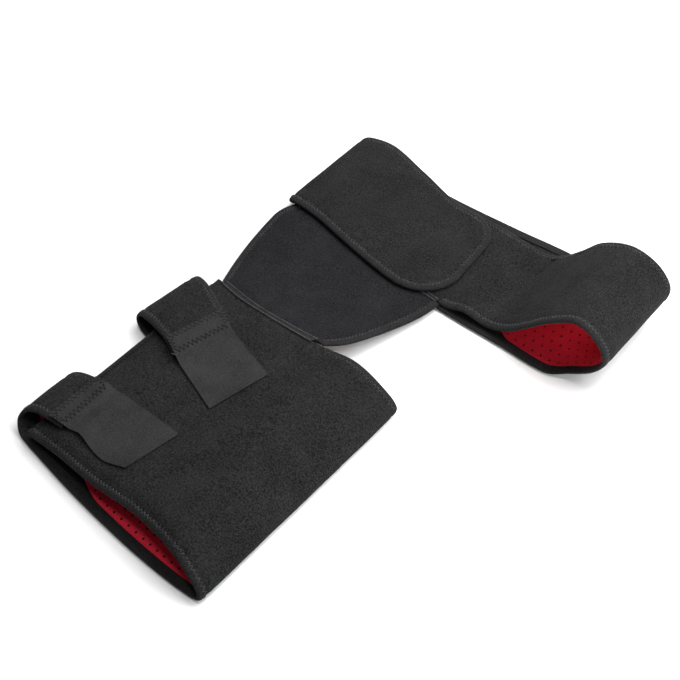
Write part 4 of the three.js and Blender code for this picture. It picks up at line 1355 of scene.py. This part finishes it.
# %% Belt, red lining
FAR_MARGIN = 16.5  # along the edge away from the bridge
NECK_MARGIN = 12.0  # how much further in it starts where the loop's two layers meet
BELT_FLOOR = row_station(BELT_ROWS, "floor")
FOLD_FOOT = row_station(BELT_ROWS, "fold foot")
NECK_RAMP = (BELT_FLOOR - 0.005, BELT_FLOOR + 0.009)  # the t over which it goes in
NECK_END_RAMP = (FOLD_FOOT, FOLD_FOOT + 0.02)  # and over which it comes out again
SEAM_LINING_RAMP = (SEAM_END - 0.01, SEAM_END)  # and over which a seam's margin becomes a tape's
BELT_LINING_LONG = length_along(belt) - 2 * END_MARGIN
BELT_LINING_WIDE = BELT_WIDE - LINING_MARGIN - FAR_MARGIN
lined_belt = RoundedBelt(LINING_MARGIN)
belt_along = along_strip(belt, END_MARGIN)


def belt_lining_place(u, v):
    t = belt_along(u)
    neck = smooth_share(t, *NECK_RAMP) - smooth_share(t, *NECK_END_RAMP)
    low_margin = margin_at(smooth_share(t, *SEAM_LINING_RAMP)) + NECK_MARGIN * neck
    return t, across_between(belt, t, low_margin, FAR_MARGIN, v / BELT_LINING_WIDE)


belt_lining = add_piece(
    "belt_red", *punched_lining(lined_belt, BELT_LINING_LONG, BELT_LINING_WIDE, belt_lining_place),
    RED_CLOTH, ["belt_lining"], "red_lining",
)

# %% [markdown]
# One tape runs along the belt's lower edge from the end of the bridge's seam, round the flap's two
# corners and back along the upper edge. Straight tapes could meet at the corners, but the real one goes
# round in one piece, so the frames of both edges and both corners are joined into one run.

# %% Belt, bound edge and stitches
def corner_frames(corner):
    steps = int(corner["radius"] * corner["turn"] / TAPE_STEP)
    angles = corner["turn"] * np.arange(1, steps) / steps
    out = np.stack([-corner["left"] * math.cos(a) + corner["arriving"] * math.sin(a) for a in angles])
    points = corner["centre"] + corner["radius"] * out
    return {"point": points, "out": out, "up": np.broadcast_to(UP, out.shape)}


low_ts = even_stations(belt, TAPE_STEP, w=0, start=SEAM_END, end=float(trimmed_belt.ends[0]))
high_ts = even_stations(belt, TAPE_STEP, w=1, end=float(trimmed_belt.ends[-1]))[::-1]
belt_frames = joined_frames(
    edge_frames(belt, 0, low_ts), corner_frames(LOW_CORNER), corner_frames(HIGH_CORNER),
    edge_frames(belt, 1, high_ts),
)
belt_tape = add_tape("belt_tape", belt_frames, "belt_binding")
belt_stitches = add_piece("belt_stitches", *zigzag_on_edge(belt_frames), THREAD, slot="binding_tape")
print("bound edge of the belt, mm:", round(distances(belt_frames["point"])[-1]))

# %% [markdown]
# Under the flap a pad of hook cloth holds it to the belt's front. It can't be seen, so a plain block
# with softened edges is enough: a cube from bmesh, scaled and bevelled.

# %% Hook pad under the flap
PAD_SOFTNESS = 0.3


def add_flap_pad():
    thick = FLAP_Z - START_Z - SHEET - 2 * LAYER_GAP
    mesh = bpy.data.meshes.new("belt_flap_pad")
    shape = bmesh.new()
    bmesh.ops.create_cube(shape, size=1.0)
    bmesh.ops.scale(shape, vec=(FLAP_HOOK["length"], FLAP_HOOK["width"], thick), verts=shape.verts)
    bmesh.ops.bevel(
        shape, geom=list(shape.edges), offset=PAD_SOFTNESS, segments=2, affect="EDGES", profile=0.5,
        clamp_overlap=True,
    )
    turn = Matrix.Rotation(BELT_TURN, 4, "Z")
    middle = Matrix.Translation(Vector(hook_pad_place * MM + SHIFT))
    bmesh.ops.transform(shape, matrix=middle @ turn @ Matrix.Scale(MM, 4), verts=shape.verts)
    shape.to_mesh(mesh)
    shape.free()
    mesh.materials.append(HOOK_CLOTH)
    pad = bpy.data.objects.new("belt_flap_pad", mesh)
    bpy.context.scene.collection.objects.link(pad)
    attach(pad, "root")
    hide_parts("belt_flap_hook")
    return pad


flap_pad = add_flap_pad()
print("flap pad corners:", len(flap_pad.data.vertices))

# %% [markdown]
# The bridge panel joins the wrap's hip edge to the belt's lower edge. It is a smoother knit, without
# the brushed loops. Its two free sides bow, its middle hangs a little, and the corner beside the hip
# edge's tape is rounded off. A cloth simulation could hang it between the two edges, but the foam is
# stiff and the shape is simple, so a rule for each of these is enough.

# %% Bridge sheet
SEAM_GAP = 1.2
BRIDGE_SAG = 6.0
BOW_PEAK = 0.75  # where along the panel its sides bow out most
BRIDGE_CORNER = {"pull": 8.0, "reach": 0.22, "fade": 5}  # the right corner, rounded off at the hip edge
BRIDGE_ROWS = rows_of("at xThigh xBelt yBelt bow", [
    ("right edge", 179, 57, 2.1, 3.5),
    ("middle right", 130, -8, 10.6, 2),
    ("middle left", 82, -74, 21.8, -6),
    ("left edge", 33, -137, 37.5, -19),
])


def bridge_start(row):
    t = station_at_x(thigh, 1, row["xThigh"], 0, THIGH_TOP_END)
    return thigh.point(t, 1.0) + np.array([0, SEAM_GAP, 0])


class Bridge:
    """The panel's middle sheet: t from the wrap to the belt, w from its right edge to its left."""

    def __init__(self, rows):
        self.foot = smooth_line([bridge_start(r) for r in rows])
        self.head = smooth_line([belt_point(r["xBelt"], r["yBelt"], START_Z) for r in rows])
        self.bow = smooth_line([(r["bow"], 0, 0) for r in rows])

    def point(self, t, w):
        t, w = paired(t, w)
        share = t[..., None]
        place = self.foot(w) * (1 - share) + self.head(w) * share
        reach = np.where(share < BOW_PEAK, BOW_PEAK, 1 - BOW_PEAK)
        place = place + self.bow(w) * (1 - ((share - BOW_PEAK) / reach) ** 2)
        at_corner = np.maximum(0, 1 - t / BRIDGE_CORNER["reach"]) ** 2 * (1 - w) ** BRIDGE_CORNER["fade"]
        place[..., 0] -= BRIDGE_CORNER["pull"] * at_corner
        place[..., 2] -= BRIDGE_SAG * 4 * t * (1 - t)
        return place

    def normal(self, t, w):
        t, w = paired(t, w)
        along = self.point(t + TINY_STEP, w) - self.point(t - TINY_STEP, w)
        return unit(np.cross(along, across_step(self, t, w)))


bridge = Bridge(BRIDGE_ROWS)
BRIDGE_LONG = length_along(bridge)
BRIDGE_WIDE = float(width_at(bridge, 0.5))
print("bridge, mm long and wide:", round(BRIDGE_LONG), round(BRIDGE_WIDE))

# %% [markdown]
# The panel has no lining, so its foam is as thick as foam and lining elsewhere. Only under the tape's
# inner leg is it thinner, to make room. Two walls could be joined there, but one wall with a step in
# its inner face is a single clean mesh.

# %% Bridge panel, tape and stitches
BRIDGE_STEP = 3.0
INNER_LEG_SPAN = (8.7, 9.3)  # mm from the edge: where the tape's inner leg ends and the foam is full again
TAPE_FROM = 0.01  # the t where the bridge's tapes start
TAPE_TO = 0.99  # and end
CORNER_END = 0.16  # up to here the steps are closer, for the rounded corner
CORNER_RINGS = 12
BOW_RINGS = 43


def bridge_faces(ts, ws):
    """The heights of the bridge's inner and outer face over the middle of the sheet."""
    t, w = grid(ts, ws)
    edge = np.minimum(w, 1 - w) * width_at(bridge, t)
    seam = np.minimum(t, 1 - t) * BRIDGE_LONG
    drawn_in = np.maximum(pinch(edge), seam_dip(seam))
    under = -FACE + faded(FACE + SHELL_INNER, edge, INNER_LEG_SPAN)
    return under, FACE - drawn_in + unevenness(bridge.point(t, w), seed=51)


bridge_ts = across_shares(BRIDGE_LONG, BRIDGE_STEP, FREE_MARGIN)
bridge_ws = across_shares(BRIDGE_WIDE, BRIDGE_STEP)
bridge_panel = add_piece(
    "bridge_knit", *wall(bridge, bridge_ts, bridge_ws, *bridge_faces(bridge_ts, bridge_ws)),
    KNIT_FABRIC, ["bridge_panel"], "knit_fabric",
)
bridge_edge_ts = np.append(
    np.linspace(TAPE_FROM, CORNER_END, CORNER_RINGS)[:-1], np.linspace(CORNER_END, TAPE_TO, BOW_RINGS)
)
bridge_frames = [edge_frames(bridge, w, bridge_edge_ts) for w in (0, 1)]
bridge_tapes = [
    add_tape(f"bridge_{side}_tape", f, f"bridge_{side}_binding")
    for side, f in zip(("right", "left"), bridge_frames)
]
bridge_stitches = add_piece(
    "bridge_stitches", *joined_meshes([zigzag_on_edge(f) for f in bridge_frames]), THREAD,
    slot="binding_tape",
)

# %% [markdown]
# Where two sheets meet, a flat tape covers the seam. It could be swept along a line of its own, but it
# lies on the sheets, so each half takes its place from the sheet under it, and between the two the
# tape bends over the joint.

# %% Where the seam tapes lie
SEAM_HALF = 2.9  # half the tape's width
SEAM_BEND = 0.35  # the share of that half over which it bends
SEAM_ENDS = {"thigh": (0.06, 0.99), "belt": (0.02, 0.98)}  # where each starts and ends along its seam


class SeamTape:
    """A surface along a seam: t along it, w from -1 to 1 over it, from the first sheet to the second."""

    def __init__(self, first_side, second_side, start, end):
        self.sides = (first_side, second_side)
        self.start, self.end = start, end

    def frame(self, t, w):
        t, w = paired(t, w)
        share = self.start + (self.end - self.start) * t
        away = np.abs(w) * SEAM_HALF
        one, one_up = self.sides[0](share, away * (w < 0))
        other, other_up = self.sides[1](share, away * (w > 0))
        over = smooth_share(w, -SEAM_BEND, SEAM_BEND)[..., None]
        return one * (1 - over) + other * over, unit(one_up * (1 - over) + other_up * over)

    def point(self, t, w):
        return self.frame(t, w)[0]

    def normal(self, t, w):
        return self.frame(t, w)[1]


def on_surface(surface, t, w):
    return surface.point(t, w), surface.normal(t, w)


foot_right, foot_left = (
    station_at_x(thigh, 1, float(bridge.point(0.0, w)[0]), 0, THIGH_TOP_END) for w in (0.0, 1.0)
)


def on_bridge_foot(share, away):
    return on_surface(bridge, away / BRIDGE_LONG, share)


def on_hip_edge(share, away):
    return on_surface(thigh, foot_right + (foot_left - foot_right) * share, 1 - away / THIGH_LONG)


def on_belt_edge(share, away):
    return on_surface(belt, SEAM_END * (1 - share), away / BELT_WIDE)


def on_bridge_head(share, away):
    return on_surface(bridge, 1 - away / BRIDGE_LONG, share)


thigh_seam = SeamTape(on_bridge_foot, on_hip_edge, *SEAM_ENDS["thigh"])
belt_seam = SeamTape(on_belt_edge, on_bridge_head, *SEAM_ENDS["belt"])
print("seams, mm long:", [round(run_along(seam, 0.0)[1][-1]) for seam in (thigh_seam, belt_seam)])

# %% [markdown]
# Two rows of straight stitches hold the tape, and it stands up as a ridge under each. A bump map could
# fake the ridges, but they catch the light at the edge of the panel, so they are real. The section is
# drawn for one side and mirrored.

# %% Seam tapes and their stitches
RIDGE = 1.5  # mm from the middle to the top of a ridge
RIDGE_TOP = 0.9  # and the height of the thread there
SEAM_SIDE = [(SEAM_HALF, 0.0), (2.5, 0.30), (2.1, 0.55), (RIDGE, 0.95), (0.9, 0.50)]  # mm out, mm up
SEAM_MIDDLE = (0.0, 0.22)
SEAM_LINE = [(-x, height) for x, height in SEAM_SIDE] + [SEAM_MIDDLE] + SEAM_SIDE[::-1]
SEAM_SINK = 0.55  # how far the tape lies below a full face, where the seam draws the sheets in
SEAM_BASE = FACE - SEAM_SINK
SEAM_THICK = 0.2
SEAM_RINGS = 60
RIDGE_STITCH = 3.4
RIDGE_ENDS = 0.5  # mm without stitches at both ends
RIDGE_STEPS = 400
RIDGE_THREAD = 0.5


def ridge_stitches(seam, w):
    """Straight stitches along one ridge of a seam tape."""
    fine, run = run_along(seam, w, steps=RIDGE_STEPS)
    holes = np.interp(np.arange(RIDGE_ENDS, run[-1] - RIDGE_ENDS, RIDGE_STITCH), run, fine)
    ridge = np.full_like(holes, w)
    up = seam.normal(holes, ridge)
    places = seam.point(holes, ridge) + up * (SEAM_BASE + RIDGE_TOP)
    return thread_arches(places[:-1], places[1:], up[:-1], RIDGE_THREAD)


def add_seam_tape(name, seam, replaces):
    ts = np.linspace(0, 1, SEAM_RINGS)
    ws = np.array([x / SEAM_HALF for x, _ in SEAM_LINE])
    heights = np.array([height for _, height in SEAM_LINE])
    outer = np.tile(SEAM_BASE + heights, (SEAM_RINGS, 1))
    tape = add_piece(
        name, *wall(seam, ts, ws, SEAM_BASE - SEAM_THICK, outer),
        SEAM_TAPE, [replaces], "binding_tape", crease=75,
    )
    rows = [ridge_stitches(seam, w) for w in (-RIDGE / SEAM_HALF, RIDGE / SEAM_HALF)]
    stitches = add_piece(f"{name}_stitches", *joined_meshes(rows), SEAM_THREAD, slot="binding_tape")
    return tape, stitches


thigh_seam_pieces = add_seam_tape("thigh_seam", thigh_seam, "thigh_seam_tape")
belt_seam_pieces = add_seam_tape("belt_seam", belt_seam, "belt_seam_tape")

# %% [markdown]
# Every sheet was cut flat before it was sewn. The cuts could be typed in, but each strip's own length
# and width give them.

# %% Cut sizes of the sheets
def cut_from(surface, wide):
    return (MM * wide, MM * length_along(surface))


cut_from(thigh, THIGH_LONG)
TAB_SHEETS = [
    (lower, lower_tab, lower_patch, lower_hook, lower_sewn),
    (upper, upper_tab, upper_patch, upper_hook, upper_sewn),
]
for tab, strip, patch, hook, sewn in TAB_SHEETS:
    cut_from(strip, tab["wide"])
    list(tab["tapes"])
    cut_from(strip, tab["lining_wide"])
    cut_from(hook, float(width_at(hook, 0.5)))
    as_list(sewn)
cut_from(belt, BELT_WIDE)
cut_from(bridge, BRIDGE_WIDE)
print("thigh wrap cut from", [round(s, 3) for s in cut_from(thigh, THIGH_LONG)], "m of lined foam")
